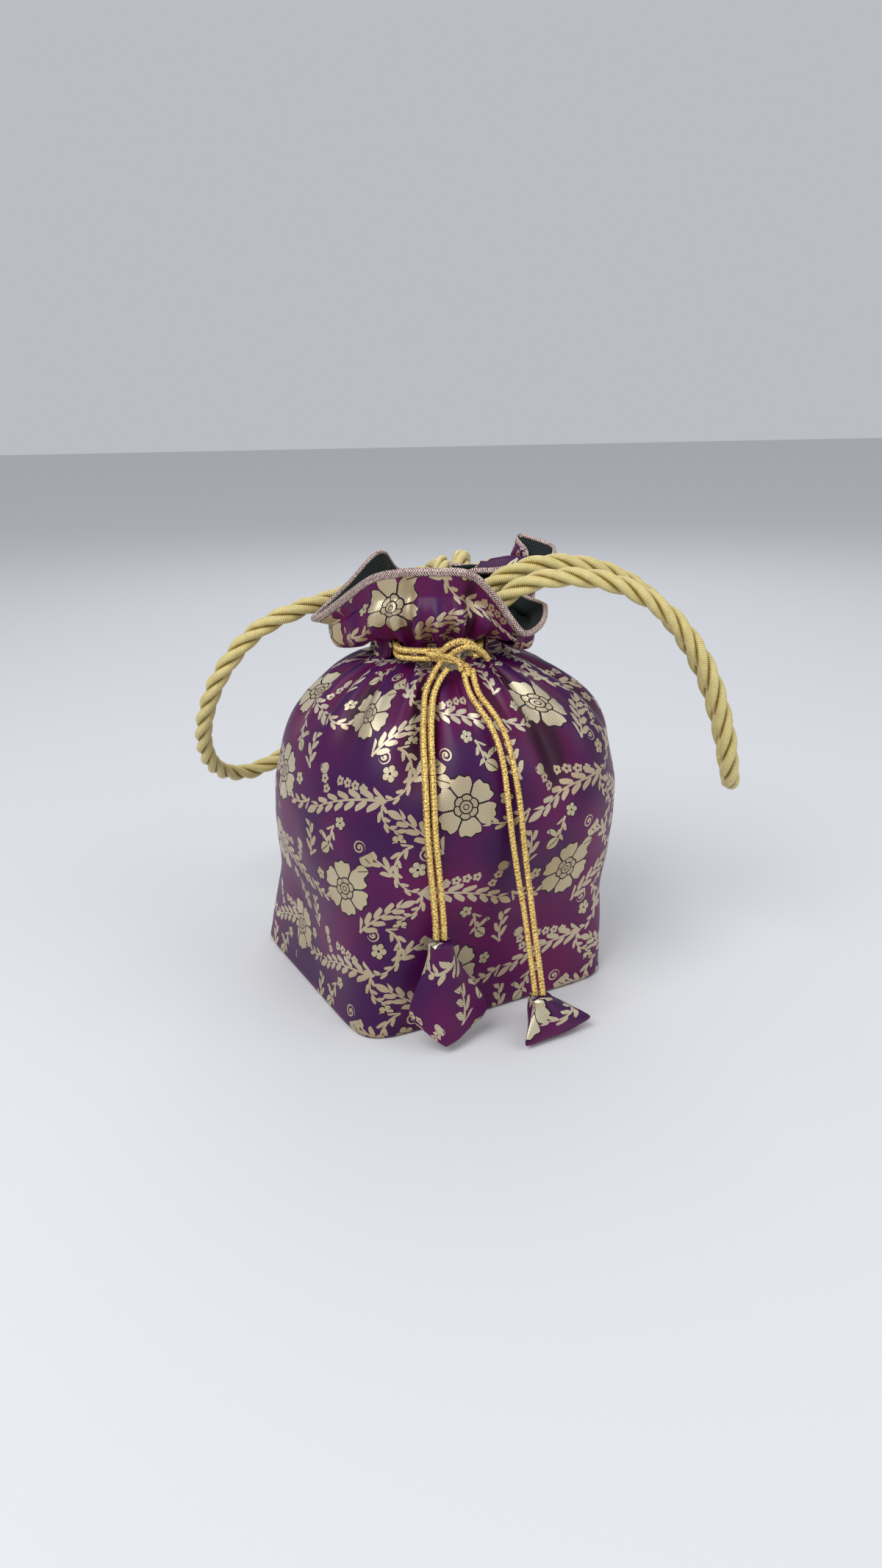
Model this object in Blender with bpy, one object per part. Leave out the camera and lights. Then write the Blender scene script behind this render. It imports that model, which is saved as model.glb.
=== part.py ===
"""Potli bag: a gathered drawstring pouch of brocade on a square boxed base.

Metres, +Z up. The origin is the middle of the base on the surface that the bag stands on, the front
of the bag faces -Y, and +X is to the right of someone who looks at its front.
"""
from bisect import bisect_right
from math import cos, exp, pi, radians, sin

import bmesh
import bpy
from mathutils import Matrix, Vector

# Cloth
CLOTH = 0.0012            # brocade with its interlining
LINING = 0.0008           # plain lining
CLEARANCE = 0.0003        # between neighbouring pieces
LAYER_GAP = 0.0005        # between brocade and lining, measured level, so that steep folds keep clear
EDGING_HEIGHT = 0.0045    # zigzag edging on the rim
RUFFLE_HEIGHT = 0.0380    # the ruffle's cloth from the neck band to the rim, in its middle

# Body
BASE_WIDTH = 0.141        # across the flats of the square base
BASE_TURN = radians(28)   # the base stands with a corner towards the front
BASE_EDGE = 0.002         # how far the bottom edge is rounded
BELLY_WIDTH = 0.166       # across the body where it is fullest
BELLY_HEIGHT = 0.106
BELLY_DRIFT = 0.010       # the filled body leans a little to the right
RIGHT_SHOULDER = 0.0055   # and stands this much fuller above the belly on that side
NECK_HEIGHT = 0.171       # middle of the drawstring channel
NECK_RADIUS = 0.031       # middle of the pleats
NECK_DRIFT = 0.008
NECK_BAND = 0.0045        # half the height of the channel
PLEAT_DEPTH = 0.0034      # half of a neck pleat, crest to valley
LINING_PLEAT = 0.0016

# Drawstring
CORD_WIDTH = 0.0032
CORD_PITCH = 0.0035       # the upper cord lies this far above the lower one
CHANNEL_SLACK = 0.0011    # room for the cords' bends between them and the lining
KNOT_WIDTH = 0.0135
KNOT_HEIGHT = 0.0100
KNOT_DEPTH = 0.0085
KNOT_ANGLE = radians(-74)
SLIT_LEFT = radians(-131)
SLIT_RIGHT = radians(-46)
SLIT_WIDTH = 0.0165
SLIT_DEPTH = 0.0165       # how far the cut goes through the pleated wall

# Rope handles and tassels
ROPE_WIDTH = 0.0095
TASSEL_NECK = 0.0056      # half the width of a tassel where its pair of cords goes in

# Mesh fineness
STEPS_PER_PLEAT = 6
CORD_STEP = 2.0           # spacing of a tube's points, in cord widths

# Valleys of the gathers round the neck: degrees round it from +X, how deep the fold stays on the
# shoulder, how far down the body it runs, and how deep it stays in the ruffle
GATHERS = (
    (-165, 0.0035, 0.045, 0.0010),
    (-146, 0.0015, 0.030, 0.0010),
    (-128, 0.0040, 0.050, 0.0015),
    (-112, 0.0010, 0.025, 0.0045),
    (-97, 0.0085, 0.060, 0.0010),
    (-80, 0.0010, 0.030, 0.0045),
    (-64, 0.0030, 0.045, 0.0010),
    (-48, 0.0080, 0.075, 0.0020),
    (-30, 0.0015, 0.030, 0.0015),
    (-8, 0.0060, 0.060, 0.0010),
    (15, 0.0015, 0.030, 0.0020),
    (38, 0.0060, 0.065, 0.0015),
    (62, 0.0020, 0.035, 0.0020),
    (88, 0.0070, 0.070, 0.0010),
    (116, 0.0020, 0.035, 0.0030),
    (143, 0.0065, 0.060, 0.0015),
    (170, 0.0020, 0.035, 0.0010),
)
FOLD_SPREAD = 7.5         # degrees from a shoulder fold's valley to where it has mostly gone

# The body between base and neck: share of the height from base to belly or from belly to neck band,
# share of the way from the lower to the upper width, and squareness (2 is round)
BASE_TO_BELLY = ((0.00, 0.00, 9.0), (0.10, -0.02, 8.0), (0.42, 0.16, 4.2), (0.64, 0.55, 3.1), (0.84, 0.93, 2.5))
BELLY_TO_NECK = ((0.00, 0.00, 2.3), (0.33, 0.09, 2.2), (0.60, 0.27, 2.1), (0.79, 0.50, 2.0), (0.91, 0.74, 2.0))

# The rim of the ruffle: degrees round the neck, reach from the neck's middle, and rise above its band
RIM = (
    (-178, 0.0605, 0.0060),
    (-160, 0.0480, 0.0180),
    (-136, 0.0410, 0.0300),
    (-112, 0.0375, 0.0335),
    (-88, 0.0370, 0.0340),
    (-66, 0.0400, 0.0320),
    (-50, 0.0440, 0.0200),
    (-36, 0.0510, 0.0020),
    (-8, 0.0540, 0.0110),
    (6, 0.0430, 0.0170),
    (24, 0.0660, 0.0310),
    (39, 0.0570, 0.0455),
    (50, 0.0460, 0.0395),
    (60, 0.0375, 0.0220),
    (74, 0.0350, 0.0182),
    (92, 0.0350, 0.0180),
    (106, 0.0385, 0.0190),
    (120, 0.0410, 0.0240),
    (140, 0.0370, 0.0350),
    (162, 0.0450, 0.0220),
)
RUFFLE_SWELL = 0.0060     # how far the ruffle swells out just above its band

# Routes of the free cords through the air and over the cloth
LEFT_ROPE = (
    (0.0098, 0.0160, 0.1815), (0.0102, 0.0190, 0.1895), (0.0110, 0.0255, 0.1980), (0.0115, 0.0330, 0.2013),
    (0.0112, 0.0410, 0.2012), (0.0060, 0.0505, 0.1970), (-0.0080, 0.0560, 0.1915), (-0.0290, 0.0500, 0.1890),
    (-0.0470, 0.0335, 0.1855),
    (-0.0640, 0.0240, 0.1815), (-0.0765, 0.0210, 0.1765), (-0.0865, 0.0200, 0.1700), (-0.0955, 0.0200, 0.1610),
    (-0.1055, 0.0230, 0.1475), (-0.1130, 0.0290, 0.1330), (-0.1185, 0.0370, 0.1180), (-0.1215, 0.0490, 0.1020),
    (-0.1205, 0.0640, 0.0870), (-0.1150, 0.0790, 0.0775), (-0.1040, 0.0920, 0.0740), (-0.0880, 0.1010, 0.0790),
    (-0.0700, 0.1060, 0.0880), (-0.0500, 0.1080, 0.1010), (-0.0300, 0.1050, 0.1180), (-0.0110, 0.0970, 0.1380),
    (0.0060, 0.0860, 0.1560), (0.0160, 0.0730, 0.1750), (0.0208, 0.0590, 0.1920), (0.0216, 0.0470, 0.2012),
    (0.0214, 0.0370, 0.2047), (0.0208, 0.0290, 0.2028), (0.0203, 0.0225, 0.1960), (0.0200, 0.0165, 0.1875),
    (0.0198, 0.0145, 0.1845),
)
RIGHT_ROPE = (
    (0.0285, 0.0030, 0.1830), (0.0300, 0.0035, 0.1905), (0.0355, 0.0040, 0.1965), (0.0440, 0.0040, 0.2010),
    (0.0560, 0.0050, 0.2050), (0.0710, 0.0080, 0.2052), (0.0850, 0.0120, 0.2025), (0.0980, 0.0170, 0.1975),
    (0.1110, 0.0220, 0.1895), (0.1220, 0.0260, 0.1795), (0.1320, 0.0290, 0.1680), (0.1410, 0.0310, 0.1550),
    (0.1490, 0.0320, 0.1400), (0.1550, 0.0310, 0.1240), (0.1590, 0.0270, 0.1080), (0.1600, 0.0190, 0.0970),
    (0.1590, 0.0070, 0.0930), (0.1560, -0.0050, 0.0960), (0.1530, -0.0130, 0.1050), (0.1500, -0.0170, 0.1200),
    (0.1455, -0.0190, 0.1360), (0.1400, -0.0200, 0.1515), (0.1325, -0.0200, 0.1660), (0.1225, -0.0190, 0.1795),
    (0.1095, -0.0180, 0.1905), (0.0950, -0.0170, 0.1980), (0.0800, -0.0160, 0.2015), (0.0660, -0.0155, 0.2020),
    (0.0530, -0.0155, 0.2000), (0.0430, -0.0155, 0.1950), (0.0345, -0.0150, 0.1885), (0.0290, -0.0130, 0.1830),
)
# The hanging ends of the drawstrings, from the knot down to the tassels
TAILS = {
    "drawstring_tail_left_outer": (
        (0.0100, -0.0410, 0.1690), (0.0062, -0.0447, 0.1640), (0.0026, -0.0507, 0.1572), (0.0015, -0.0595, 0.1495),
        (0.0011, -0.0690, 0.1395), (0.0015, -0.0765, 0.1305), (0.0019, -0.0840, 0.1180), (0.0023, -0.0883, 0.1030),
        (0.0032, -0.0900, 0.0880), (0.0042, -0.0907, 0.0740), (0.0049, -0.0909, 0.0620), (0.0051, -0.0908, 0.0526),
    ),
    "drawstring_tail_left_inner": (
        (0.0126, -0.0450, 0.1662), (0.0092, -0.0489, 0.1624), (0.0062, -0.0541, 0.1568), (0.0050, -0.0613, 0.1500),
        (0.0046, -0.0695, 0.1400), (0.0049, -0.0765, 0.1305), (0.0053, -0.0840, 0.1180), (0.0057, -0.0883, 0.1030),
        (0.0067, -0.0900, 0.0880), (0.0077, -0.0907, 0.0740), (0.0084, -0.0909, 0.0620), (0.0086, -0.0908, 0.0526),
    ),
    "drawstring_tail_right_inner": (
        (0.0200, -0.0455, 0.1658), (0.0206, -0.0488, 0.1620), (0.0227, -0.0550, 0.1565), (0.0265, -0.0617, 0.1517),
        (0.0308, -0.0667, 0.1460), (0.0345, -0.0717, 0.1374), (0.0366, -0.0760, 0.1280), (0.0382, -0.0803, 0.1130),
        (0.0402, -0.0815, 0.0950), (0.0426, -0.0817, 0.0780), (0.0452, -0.0823, 0.0620), (0.0473, -0.0833, 0.0460),
        (0.0491, -0.0846, 0.0320), (0.0504, -0.0858, 0.0207),
    ),
    "drawstring_tail_right_outer": (
        (0.0240, -0.0450, 0.1655), (0.0246, -0.0490, 0.1620), (0.0266, -0.0545, 0.1565), (0.0307, -0.0597, 0.1520),
        (0.0351, -0.0642, 0.1460), (0.0388, -0.0697, 0.1375), (0.0410, -0.0745, 0.1280), (0.0434, -0.0782, 0.1130),
        (0.0451, -0.0792, 0.0950), (0.0470, -0.0802, 0.0780), (0.0489, -0.0816, 0.0620), (0.0508, -0.0831, 0.0460),
        (0.0526, -0.0846, 0.0320), (0.0539, -0.0858, 0.0207),
    ),
}
# Each tassel's point, where its cords go in, and its three tips
TASSELS = {
    "tassel_left": ((0.0068, -0.0908, 0.0520), ((-0.0085, -0.0990, 0.0150), (0.0085, -0.1030, 0.0030),
                                                (0.0295, -0.0850, 0.0100))),
    "tassel_right": ((0.0522, -0.0860, 0.0200), ((0.0450, -0.1010, 0.0008), (0.0785, -0.0815, 0.0045),
                                                 (0.0580, -0.0650, 0.0010))),
}
# Down a tassel: share of the way from its point to its foot, width, and how three-cornered it is
TASSEL_SHAPE = ((0.00, 0.00, 0.0), (0.10, 0.07, 0.1), (0.28, 0.34, 0.35), (0.48, 0.62, 0.65), (0.70, 0.88, 0.88),
                (0.90, 1.00, 1.0), (1.00, 0.84, 0.9))
TASSEL_SPOKES = 8         # columns from one tip to the next


def smooth_through(points, at):
    """A smooth value at one place of a table of (place, value) rows, held level past both ends."""
    places = [p for p, _ in points]
    k = min(max(bisect_right(places, at) - 1, 0), len(points) - 2)
    (a, va), (b, vb) = points[k], points[k + 1]
    t = min(max((at - a) / (b - a), 0.0), 1.0)
    before = points[max(k - 1, 0)]
    after = points[min(k + 2, len(points) - 1)]
    slope_a = (vb - before[1]) / (b - before[0]) * (b - a)
    slope_b = (after[1] - va) / (after[0] - a) * (b - a)
    return ((2 * t**3 - 3 * t**2 + 1) * va + (t**3 - 2 * t**2 + t) * slope_a
            + (3 * t**2 - 2 * t**3) * vb + (t**3 - t**2) * slope_b)


def round_and_round(points, at):
    """smooth_through for a table whose places are degrees of a full turn."""
    turned = [(p - 360, v) for p, v in points] + list(points) + [(p + 360, v) for p, v in points]
    return smooth_through(turned, at)


def step(low, high, x):
    """0 below low, 1 above high, and smooth between."""
    t = min(max((x - low) / (high - low), 0.0), 1.0)
    return t * t * (3 - 2 * t)


# The drawstring channel, from the brocade inwards
CHANNEL_RADIUS = NECK_RADIUS - PLEAT_DEPTH - CLOTH - CLEARANCE - CORD_WIDTH / 2
LINING_NECK = CHANNEL_RADIUS - CORD_WIDTH / 2 - CLEARANCE - CHANNEL_SLACK - LINING_PLEAT
BAND_RADIUS = NECK_RADIUS + PLEAT_DEPTH + CLEARANCE + CORD_WIDTH / 2
BAND_LOW = NECK_HEIGHT - NECK_BAND
BAND_HIGH = NECK_HEIGHT + NECK_BAND


def body_tables():
    """Tables of half width, squareness and sideways drift over the height, from the floor to the neck band."""
    widths, squareness = [], []
    for share, way, square in BASE_TO_BELLY:
        z = share * BELLY_HEIGHT
        widths.append((z, BASE_WIDTH / 2 + way * (BELLY_WIDTH - BASE_WIDTH) / 2))
        squareness.append((z, square))
    for share, way, square in BELLY_TO_NECK:
        z = BELLY_HEIGHT + share * (BAND_LOW - BELLY_HEIGHT)
        widths.append((z, BELLY_WIDTH / 2 + way * (NECK_RADIUS - BELLY_WIDTH / 2)))
        squareness.append((z, square))
    widths += [(BAND_LOW, NECK_RADIUS), (BAND_HIGH, NECK_RADIUS)]
    squareness += [(BAND_LOW, 2.0), (BAND_HIGH, 2.0)]
    drift = [(0.0, 0.0), (BELLY_HEIGHT, BELLY_DRIFT), (NECK_HEIGHT, NECK_DRIFT), (2 * NECK_HEIGHT, NECK_DRIFT)]
    return widths, squareness, drift


WIDTHS, SQUARENESS, DRIFT = body_tables()
RIM_REACH = [(a, reach) for a, reach, _ in RIM]
RIM_RISE = [(a, rise) for a, _, rise in RIM]


def columns():
    """Where the columns of the cloth stand: (degrees, share of the way from one gather to the next)."""
    places = []
    starts = [g[0] for g in GATHERS]
    for start, end in zip(starts, starts[1:] + [starts[0] + 360]):
        for k in range(STEPS_PER_PLEAT):
            share = k / STEPS_PER_PLEAT
            places.append((start + share * (end - start), share))
    return places


def body_radius(degrees, z):
    """The plain body without its folds, as a rounded square that turns round on its way up."""
    half, square = smooth_through(WIDTHS, z), smooth_through(SQUARENESS, z)
    shoulder = min(max((z - BELLY_HEIGHT) / (BAND_LOW - BELLY_HEIGHT), 0.0), 1.0)
    half += RIGHT_SHOULDER * max(cos(radians(degrees)), 0.0) ** 2 * sin(pi * shoulder) ** 2
    a = radians(degrees) - BASE_TURN
    return half / (abs(cos(a)) ** square + abs(sin(a)) ** square) ** (1 / square)


def fold(degrees, share, z, up, pleat):
    """How far the gathers push the cloth in or out. up is the share of the way from neck to rim."""
    below = max(BAND_LOW - z, 0.0)
    ripple = -pleat * cos(2 * pi * share) * (1 - step(0.0, 0.030, below)) * (1 - 0.85 * step(0.0, 0.9, up))
    dents = 0.0
    for angle, shoulder, reach, ruffle in GATHERS:
        away = (degrees - angle + 180) % 360 - 180
        near = exp(-(away / FOLD_SPREAD) ** 2)
        dents += shoulder * near * step(0.0, 0.018, below) * (1 - step(0.4 * reach, reach, below))
        dents += ruffle * near * sin(pi * min(up, 1.0)) if up > 0 else 0.0
    return ripple - dents


def profile(degrees, heights, ups):
    """Plain (radius, height) of one column, from the floor to the neck and on to the rim."""
    line = [(body_radius(degrees, z), z) for z in heights]
    reach, rise = round_and_round(RIM_REACH, degrees), round_and_round(RIM_RISE, degrees)
    for up in ups:
        swell = RUFFLE_SWELL * sin(pi * min(up / 0.65, 1.0))
        line.append((NECK_RADIUS + (reach - NECK_RADIUS) * up**0.75 + swell, BAND_HIGH + rise * up))
    return line


def layer(heights, ups, inwards, channel=0.0, pleat=PLEAT_DEPTH):
    """Rings of points of one face of the cloth, from the floor to the rim.

    inwards is how far it lies inside the brocade's outer face, and channel how much further in at the neck.
    """
    rings = [[] for _ in range(len(heights) + len(ups))]
    for degrees, share in columns():
        line = profile(degrees, heights, ups)
        for k, (r, z) in enumerate(line):
            (r0, z0), (r1, z1) = line[max(k - 1, 0)], line[min(k + 1, len(line) - 1)]
            along = Vector((r1 - r0, z1 - z0)).normalized()
            up = ups[k - len(heights)] if k >= len(heights) else 0.0
            if z <= BASE_EDGE:
                out, rise = inwards, inwards
            else:
                out, rise = inwards * along.y, inwards * along.x
            at_neck = step(BAND_LOW - 0.010, BAND_LOW - 0.001, z) * (1 - step(BAND_HIGH, BAND_HIGH + 0.011, z))
            push = fold(degrees, share, z, up, PLEAT_DEPTH + (pleat - PLEAT_DEPTH) * at_neck)
            radius = r - out - channel * at_neck + push
            drift = smooth_through(DRIFT, z)
            rings[k].append(Vector((drift + radius * cos(radians(degrees)), radius * sin(radians(degrees)), z + rise)))
    return rings


def finish(name, bm, material):
    """Makes the object of a bmesh, outward facing and shaded smooth up to its sharp edges."""
    bmesh.ops.recalc_face_normals(bm, faces=bm.faces)
    mesh = bpy.data.meshes.new(name)
    bm.to_mesh(mesh)
    bm.free()
    mesh.shade_smooth()
    mesh.set_sharp_from_angle(angle=radians(50))
    mesh.materials.append(material)
    ob = bpy.data.objects.new(name, mesh)
    bpy.context.scene.collection.objects.link(ob)
    return ob


def loft(rings, ring_closed=True):
    """A bmesh skin through rings of points: a grid that is rolled up and welded. With ring_closed its two
    ends get a flat face, and otherwise its last ring meets its first. The first half of the rings is one
    face of the wall and the second half the other, so their squares are split along the same diagonal."""
    rows = rings if ring_closed else rings + [rings[0]]
    across, up = len(rows[0]), len(rows) - 1
    bm = bmesh.new()
    grid = bmesh.ops.create_grid(bm, x_segments=across, y_segments=up, size=0.5)
    out_side = [f for f in bm.faces if f.calc_center_median().y < 0]
    in_side = [f for f in bm.faces if f.calc_center_median().y >= 0]
    for v in grid["verts"]:
        column = round((v.co.x + 0.5) * across) % across
        v.co = rows[round((v.co.y + 0.5) * up)][column]
    bmesh.ops.triangulate(bm, faces=out_side, quad_method="FIXED")
    bmesh.ops.triangulate(bm, faces=in_side, quad_method="ALTERNATE")
    bmesh.ops.remove_doubles(bm, verts=bm.verts, dist=1e-7)
    bmesh.ops.holes_fill(bm, edges=[e for e in bm.edges if e.is_boundary], sides=0)
    return bm


def material(name, colour, roughness, metallic=0.0):
    made = bpy.data.materials.new(name)
    made.use_nodes = True
    shader = made.node_tree.nodes["Principled BSDF"]
    shader.inputs["Base Color"].default_value = (*colour, 1.0)
    shader.inputs["Roughness"].default_value = roughness
    shader.inputs["Metallic"].default_value = metallic
    return made


# Heights of the rings of cloth, and shares of the way up the ruffle
BODY_RINGS = (0.0, BASE_EDGE, 0.24 * BELLY_HEIGHT, 0.55 * BELLY_HEIGHT, 0.82 * BELLY_HEIGHT)
SHOULDER_RINGS = tuple(BELLY_HEIGHT + share * (BAND_LOW - BELLY_HEIGHT) for share in (0.12, 0.38, 0.60, 0.78, 0.91))
NECK_RINGS = (BAND_LOW, BAND_HIGH)
EDGING_SEAT = 1 - EDGING_HEIGHT / RUFFLE_HEIGHT
EDGING_LOW = EDGING_SEAT + 1.6 * CLEARANCE / RUFFLE_HEIGHT
RUFFLE_RINGS = (0.34 * EDGING_SEAT, 0.70 * EDGING_SEAT, EDGING_SEAT)


def base_rounded(rings):
    """Draws the lowest ring in by the rounding of the bottom edge."""
    for k, p in enumerate(rings[0]):
        flat = Vector((p.x, p.y, 0.0))
        rings[0][k] = p - flat.normalized() * BASE_EDGE
    return rings


def brocade_shell(cloth):
    heights = BODY_RINGS + SHOULDER_RINGS + NECK_RINGS
    outer = base_rounded(layer(heights, RUFFLE_RINGS, 0.0))
    inner = base_rounded(layer(heights, RUFFLE_RINGS, CLOTH))
    shell = finish("brocade_shell", loft(outer + inner[::-1]), cloth)
    for name, angle in (("slit_left", SLIT_LEFT), ("slit_right", SLIT_RIGHT)):
        cut = shell.modifiers.new(name, "BOOLEAN")
        cut.solver = "EXACT"
        cut.object = slit(name, angle)
    return shell


def slit(name, angle):
    """The cutter of one of the two slits through which the drawstrings leave their channel."""
    bm = bmesh.new()
    bmesh.ops.create_cube(bm, size=1.0)
    height = CORD_PITCH + CORD_WIDTH + 4 * CLEARANCE
    bmesh.ops.scale(bm, vec=(SLIT_DEPTH, SLIT_WIDTH, height), verts=bm.verts)
    mesh = bpy.data.meshes.new(name)
    bm.to_mesh(mesh)
    bm.free()
    cutter = bpy.data.objects.new(name, mesh)
    cutter.location = neck_point(angle, NECK_RADIUS, 0.0)
    cutter.rotation_euler = (0.0, 0.0, angle)
    cutter.hide_render = True
    cutter.display_type = "WIRE"
    bpy.context.scene.collection.objects.link(cutter)
    return cutter


def neck_point(angle, radius, above):
    return Vector((NECK_DRIFT + radius * cos(angle), radius * sin(angle), NECK_HEIGHT + above))


def lining(cloth):
    heights = BODY_RINGS + SHOULDER_RINGS + NECK_RINGS
    channel = NECK_RADIUS - CLOTH - LAYER_GAP - LINING_NECK
    outer = base_rounded(layer(heights, RUFFLE_RINGS, CLOTH + LAYER_GAP, channel, LINING_PLEAT))
    inner = base_rounded(layer(heights, RUFFLE_RINGS, CLOTH + LAYER_GAP + LINING, channel, LINING_PLEAT))
    return finish("lining", loft(outer + inner[::-1]), cloth)


def rim_edging(braid):
    """The edging stands on the raw top edges of brocade and lining and carries the ruffle on to its rim."""
    heights = BODY_RINGS + SHOULDER_RINGS + NECK_RINGS
    ups = RUFFLE_RINGS[:-1] + (EDGING_LOW, 1.0)
    outer = layer(heights, ups, 0.0)[-2:]
    inner = layer(heights, ups, CLOTH + LAYER_GAP + LINING)[-2:]
    return finish("rim_edging", loft(outer + inner[::-1], ring_closed=False), braid)


def tube(name, points, width, resolution, cloth):
    """A cord along a smooth curve through its route's points, with flat ends."""
    route = evenly(points, width * CORD_STEP)
    curve = bpy.data.curves.new(name, "CURVE")
    curve.dimensions = "3D"
    curve.bevel_depth = width / 2
    curve.bevel_resolution = resolution
    curve.use_fill_caps = True
    spline = curve.splines.new("POLY")
    spline.points.add(len(route) - 1)
    for point, place in zip(spline.points, route):
        point.co = (*place, 1.0)
    curve.materials.append(cloth)
    cord = bpy.data.objects.new(name, curve)
    bpy.context.scene.collection.objects.link(cord)
    return cord


def evenly(points, spacing):
    """Points at an even spacing on a smooth curve through the given ones."""
    points = [Vector(p) for p in points]
    lengths = [0.0]
    for a, b in zip(points, points[1:]):
        lengths.append(lengths[-1] + (b - a).length)
    tables = [[(s, p[axis]) for s, p in zip(lengths, points)] for axis in range(3)]
    count = max(round(lengths[-1] / spacing), 2)
    places = [lengths[-1] * k / count for k in range(count + 1)]
    return [Vector([smooth_through(table, s) for table in tables]) for s in places]


def drawstring(name, above, cloth):
    """A cord from the knot round the left slit, round the channel behind and out of the right slit again."""
    left, right = SLIT_LEFT, SLIT_RIGHT
    half_knot = (KNOT_WIDTH / 2 + CLEARANCE) / BAND_RADIUS
    slope = radians(9)
    knot_left, knot_right = KNOT_ANGLE - half_knot, KNOT_ANGLE + half_knot
    band_end = left + 1.7 * slope
    points = [neck_point(knot_left + (band_end - knot_left) * k / 3, BAND_RADIUS, above) for k in range(3)]
    ways = ((1.7, 1.0), (1.1, 0.84), (0.0, 0.40), (-1.1, 0.05), (-1.9, 0.0))
    for turn, share in ways:
        points.append(neck_point(left + turn * slope, CHANNEL_RADIUS + share * (BAND_RADIUS - CHANNEL_RADIUS), above))
    start, end = left - 2.6 * slope, right + 2.6 * slope - 2 * pi
    steps = 24
    for k in range(steps + 1):
        points.append(neck_point(start + (end - start) * k / steps, CHANNEL_RADIUS, above))
    for turn, share in ways[::-1]:
        points.append(neck_point(right - turn * slope, CHANNEL_RADIUS + share * (BAND_RADIUS - CHANNEL_RADIUS), above))
    points.append(neck_point(knot_right, BAND_RADIUS, above))
    return tube(name, points, CORD_WIDTH, 2, cloth)


def brocade_tassel(name, point, tips, cloth):
    """A stuffed three-cornered cap of brocade, from its point, where the cords go in, to its foot."""
    point, tips = Vector(point), [Vector(t) for t in tips]
    middle = sum(tips, Vector()) / 3
    reach = sum((t - middle).length for t in tips) / 3
    rings = []
    for share, width, cornered in TASSEL_SHAPE:
        ring = []
        for k in range(3 * TASSEL_SPOKES):
            this, along = tips[k // TASSEL_SPOKES], (k % TASSEL_SPOKES) / TASSEL_SPOKES
            side = this.lerp(tips[(k // TASSEL_SPOKES + 1) % 3], along) - middle
            neck = Vector((side.x, side.y, 0.0)).normalized() * TASSEL_NECK
            full = (side.normalized() * 0.62 * reach).lerp(side, cornered)
            ring.append(point.lerp(middle, share) + neck.lerp(full, width))
        rings.append(ring)
    return finish(name, loft(rings), cloth)


def knot(cloth):
    """The half knot of the two pairs of cord, as the rounded lump that it makes."""
    bm = bmesh.new()
    bmesh.ops.create_icosphere(bm, subdivisions=3, radius=0.5)
    bmesh.ops.scale(bm, vec=(KNOT_DEPTH, KNOT_WIDTH, KNOT_HEIGHT), verts=bm.verts)
    middle = NECK_RADIUS + PLEAT_DEPTH + CLEARANCE + KNOT_DEPTH / 2
    place = Matrix.Translation(neck_point(KNOT_ANGLE, middle, 0.0)) @ Matrix.Rotation(KNOT_ANGLE, 4, "Z")
    bmesh.ops.transform(bm, matrix=place, verts=bm.verts)
    return finish("drawstring_knot", bm, cloth)


def main():
    for ob in list(bpy.data.objects):
        bpy.data.objects.remove(ob)
    brocade = material("purple_brocade", (0.065, 0.008, 0.085), 0.42)
    plain = material("dark_lining", (0.010, 0.016, 0.016), 0.75)
    zigzag = material("zigzag_edging", (0.42, 0.26, 0.24), 0.40, 0.6)
    dori = material("gold_knitted_cord", (0.66, 0.33, 0.05), 0.38, 0.8)
    satin = material("gold_satin_rope", (0.62, 0.48, 0.14), 0.40, 0.2)
    brocade_shell(brocade)
    lining(plain)
    rim_edging(zigzag)
    drawstring("drawstring_upper", CORD_PITCH / 2, dori)
    drawstring("drawstring_lower", -CORD_PITCH / 2, dori)
    knot(dori)
    for name, route in TAILS.items():
        tube(name, route, CORD_WIDTH, 2, dori)
    for name, (point, tips) in TASSELS.items():
        brocade_tassel(name, point, tips, brocade)
    tube("rope_handle_left", LEFT_ROPE, ROPE_WIDTH, 2, satin)
    tube("rope_handle_right", RIGHT_ROPE, ROPE_WIDTH, 2, satin)


main()
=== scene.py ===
"""Potli bag: the finish of a gathered brocade pouch with rope handles, knotted drawstrings and tassels.

Metres, +Z up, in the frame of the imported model. The bag's front faces -Y. Patterns are in millimetres.
"""

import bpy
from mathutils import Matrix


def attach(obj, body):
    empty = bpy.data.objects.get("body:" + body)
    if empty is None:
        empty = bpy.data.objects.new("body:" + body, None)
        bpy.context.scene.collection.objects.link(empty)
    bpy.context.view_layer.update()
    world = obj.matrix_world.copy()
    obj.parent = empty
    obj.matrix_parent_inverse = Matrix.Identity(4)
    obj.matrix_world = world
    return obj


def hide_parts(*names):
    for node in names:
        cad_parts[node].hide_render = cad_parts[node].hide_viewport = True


bl_info = {
    "name": "Potli Bag",
    "version": (1, 0, 0),
    "blender": (4, 5, 0),
    "location": "View3D > Sidebar > Potli Bag",
    "description": "Builds a brocade potli bag with rope handles, knotted drawstrings and tassels",
    "category": "Object",
}

import ast
import operator
from bisect import bisect_right
from math import atan2, cos, degrees, exp, pi, radians, sin, tan

import bmesh
import bpy
from mathutils import Matrix, Vector, noise
from mathutils.kdtree import KDTree

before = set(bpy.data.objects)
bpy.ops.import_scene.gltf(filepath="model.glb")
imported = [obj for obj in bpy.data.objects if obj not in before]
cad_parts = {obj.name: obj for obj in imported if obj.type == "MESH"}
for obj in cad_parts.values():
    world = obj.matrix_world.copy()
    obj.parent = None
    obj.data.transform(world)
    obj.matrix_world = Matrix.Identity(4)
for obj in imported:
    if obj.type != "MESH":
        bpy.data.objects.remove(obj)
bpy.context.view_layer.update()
MM = 1000.0

# Cloth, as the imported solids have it
CLOTH = 0.0012
LINING = 0.0008
LAYER_GAP = 0.0005
CLEARANCE = 0.0003
RUFFLE_HEIGHT = 0.0380

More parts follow.
